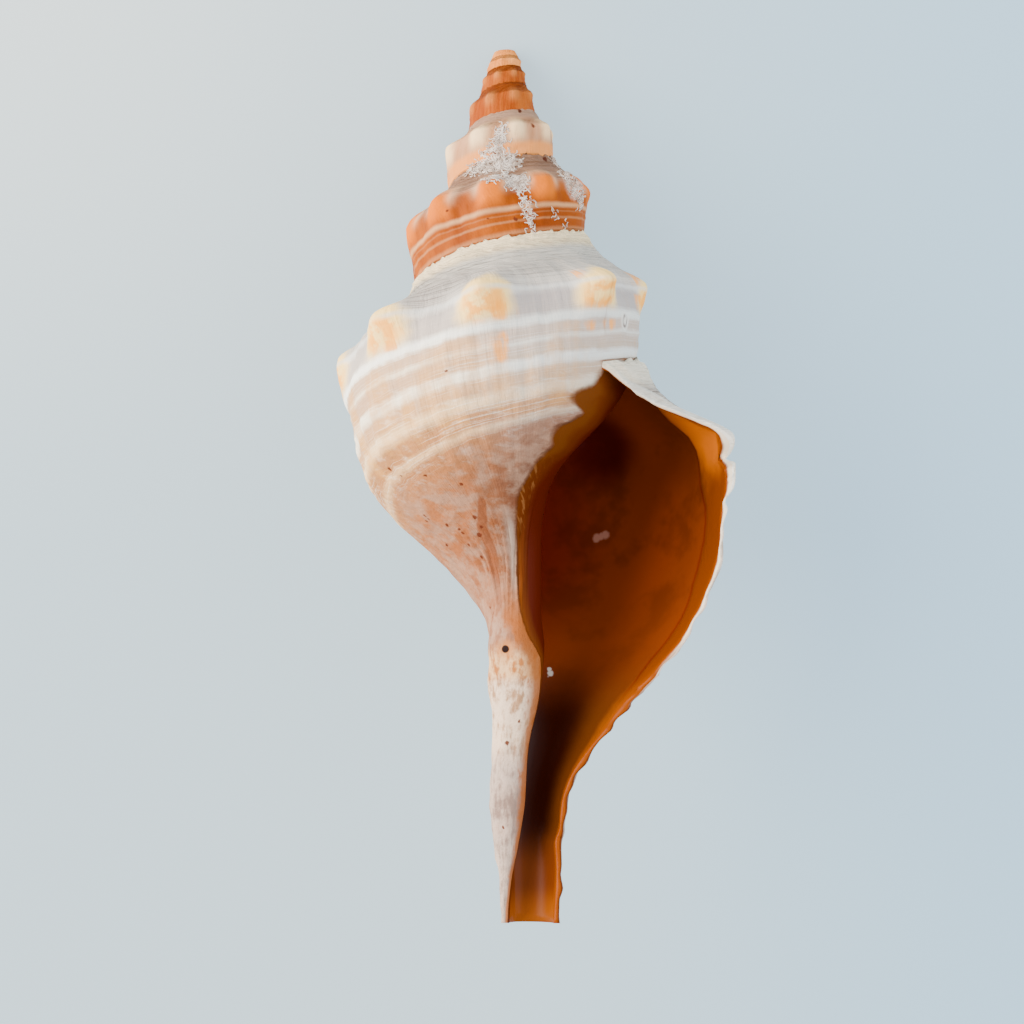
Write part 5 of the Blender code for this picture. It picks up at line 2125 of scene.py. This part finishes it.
@dataclass(frozen=True)
class Stage:
    """The plain pale table, glowing with painted light, soft studio lights and the camera; none of
    it is the object.
    """

    shell: FineShell
    looks_at_mm: Spot = (0.96, -112.36, 0.0)
    distance_mm: float = 450.0
    pitch_deg: float = 8.0
    field_deg: float = 29.16
    lights: tuple[tuple[str, Spot, float, float, Colour], ...] = (
        ("key", (-1.02, 0.36, 0.60), 1.3, 70.0, (1.0, 0.97, 0.91)),
        ("fill", (1.0, 0.25, 0.6), 1.4, 20.0, (0.92, 0.96, 1.0)),
    )
    sky: Colour = (0.90, 0.95, 1.0)
    sky_strength: float = 1.28
    floor_side: float = 3.0
    # Centre of the painted pool of light on the table.
    light_pool_mm: Spot = (-150.0, 150.0, 0.0)
    floor_colour: Colour = (0.16, 0.20, 0.22)
    # The table's glow is painted light: pale at the left, dimmer and bluer at the right, and a
    # bright pool round one corner.
    glow_left: Colour = (0.66, 0.86, 0.94)
    glow_right: Colour = (0.43, 0.78, 1.10)
    glow_light_pool: Colour = (1.15, 1.20, 1.14)

    def build(self) -> None:
        """Adds the floor, the lights, the sky and the camera, which follows how the shell lies."""
        self._floor()
        for light in self.lights:
            self._light(*light)
        world = bpy.data.worlds.new("studio")
        world.use_nodes = True
        sky = world.node_tree.nodes["Background"]
        sky.inputs["Color"].default_value = (*self.sky, 1.0)
        sky.inputs["Strength"].default_value = self.sky_strength
        bpy.context.scene.world = world
        self._camera()

    def _camera(self) -> None:
        """Adds the camera, pitched a little from straight above the lying shell's own axis."""
        pitch = math.radians(self.pitch_deg)
        back = self.distance_mm * np.array([0.0, -math.sin(pitch), math.cos(pitch)])
        at = self.shell.laid(np.array(self.looks_at_mm) + back) * MM
        turn = self.shell.lay() @ Matrix.Rotation(pitch, 3, "X")
        camera = bpy.data.cameras.new("camera")
        camera.angle = math.radians(self.field_deg)
        seen_from = bpy.data.objects.new("camera", camera)
        seen_from.matrix_world = Matrix.Translation(tuple(at)) @ turn.to_4x4()
        bpy.context.scene.collection.objects.link(seen_from)
        bpy.context.scene.camera = seen_from

    def _light(self, name: str, at: Spot, side: float, power: float,
               colour: Colour) -> None:
        """Adds one square soft light that faces the origin.

        Args:
            name: Its name.
            at: Its place, in metres.
            side: Its side, in metres.
            power: Its power, in watts.
            colour: Its colour.
        """
        lamp = bpy.data.lights.new(name, "AREA")
        lamp.size = side
        lamp.energy = power
        lamp.color = colour
        holder = bpy.data.objects.new(name, lamp)
        holder.location = at
        holder.rotation_euler = Vector(at).to_track_quat("Z", "Y").to_euler()
        bpy.context.scene.collection.objects.link(holder)

    def _floor(self) -> None:
        """Adds the table top: one wide sheet, matt and pale, whose glow is painted light: dimmer
        and bluer to the right, brightest round one corner.
        """
        side = self.floor_side
        mesh = bpy.data.meshes.new("table")
        corners = [(-side, -side, 0), (side, -side, 0), (side, side, 0), (-side, side, 0)]
        mesh.from_pydata(corners, [], [(0, 1, 2, 3)])
        paint = Paint("pale_table")
        grain = paint.noise(paint.here(), 30.0, 4.0, 0.6)
        colour = paint.mix(grain, tuple(0.97 * c for c in self.floor_colour), self.floor_colour)
        place = paint.here()
        across = paint.node("SeparateXYZ", {}, {0: place}, 0)
        # Painted light: the glow stands in for the light falling on the table, and lightens the
        # shadows cast on it.
        glow = paint.mix(across.ease(-0.05, 0.14), self.glow_left, self.glow_right)
        corner = paint.away(place, self.light_pool_mm)
        glow = paint.mix(corner.ease(190.0, 20.0), glow, self.glow_light_pool)
        mesh.materials.append(paint.finish(
            {"Base Color": colour, "Emission Color": glow},
            {"Roughness": 0.65, "Specular IOR Level": 0.2, "Emission Strength": 1.0},
        ))
        table = bpy.data.objects.new("table", mesh)
        bpy.context.scene.collection.objects.link(table)


def main() -> None:
    """Builds the shell, its crust and the stage, and reports each piece."""
    logging.basicConfig(level=logging.INFO, format="%(message)s")
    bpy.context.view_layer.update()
    form = Growth()
    fine = FineShell(form, Relief(form))
    mesh = fine.build()
    for finish in (OuterFinish(), InnerFinish(), BreakFinish()):
        mesh.materials.append(finish.material())
    shell = bpy.data.objects.new("conch", mesh)
    bpy.context.scene.collection.objects.link(shell)
    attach(shell, "root")
    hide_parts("shell")
    LOG.info("conch: %d faces", len(mesh.polygons))
    tubes = Crust().mesh(mesh)
    tubes.materials.append(CrustFinish().material())
    crust = bpy.data.objects.new("crust", tubes)
    bpy.context.scene.collection.objects.link(crust)
    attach(crust, "root")
    LOG.info("crust: %d faces", len(tubes.polygons))
    Stage(fine).build()


if __name__ == "__main__":
    main()
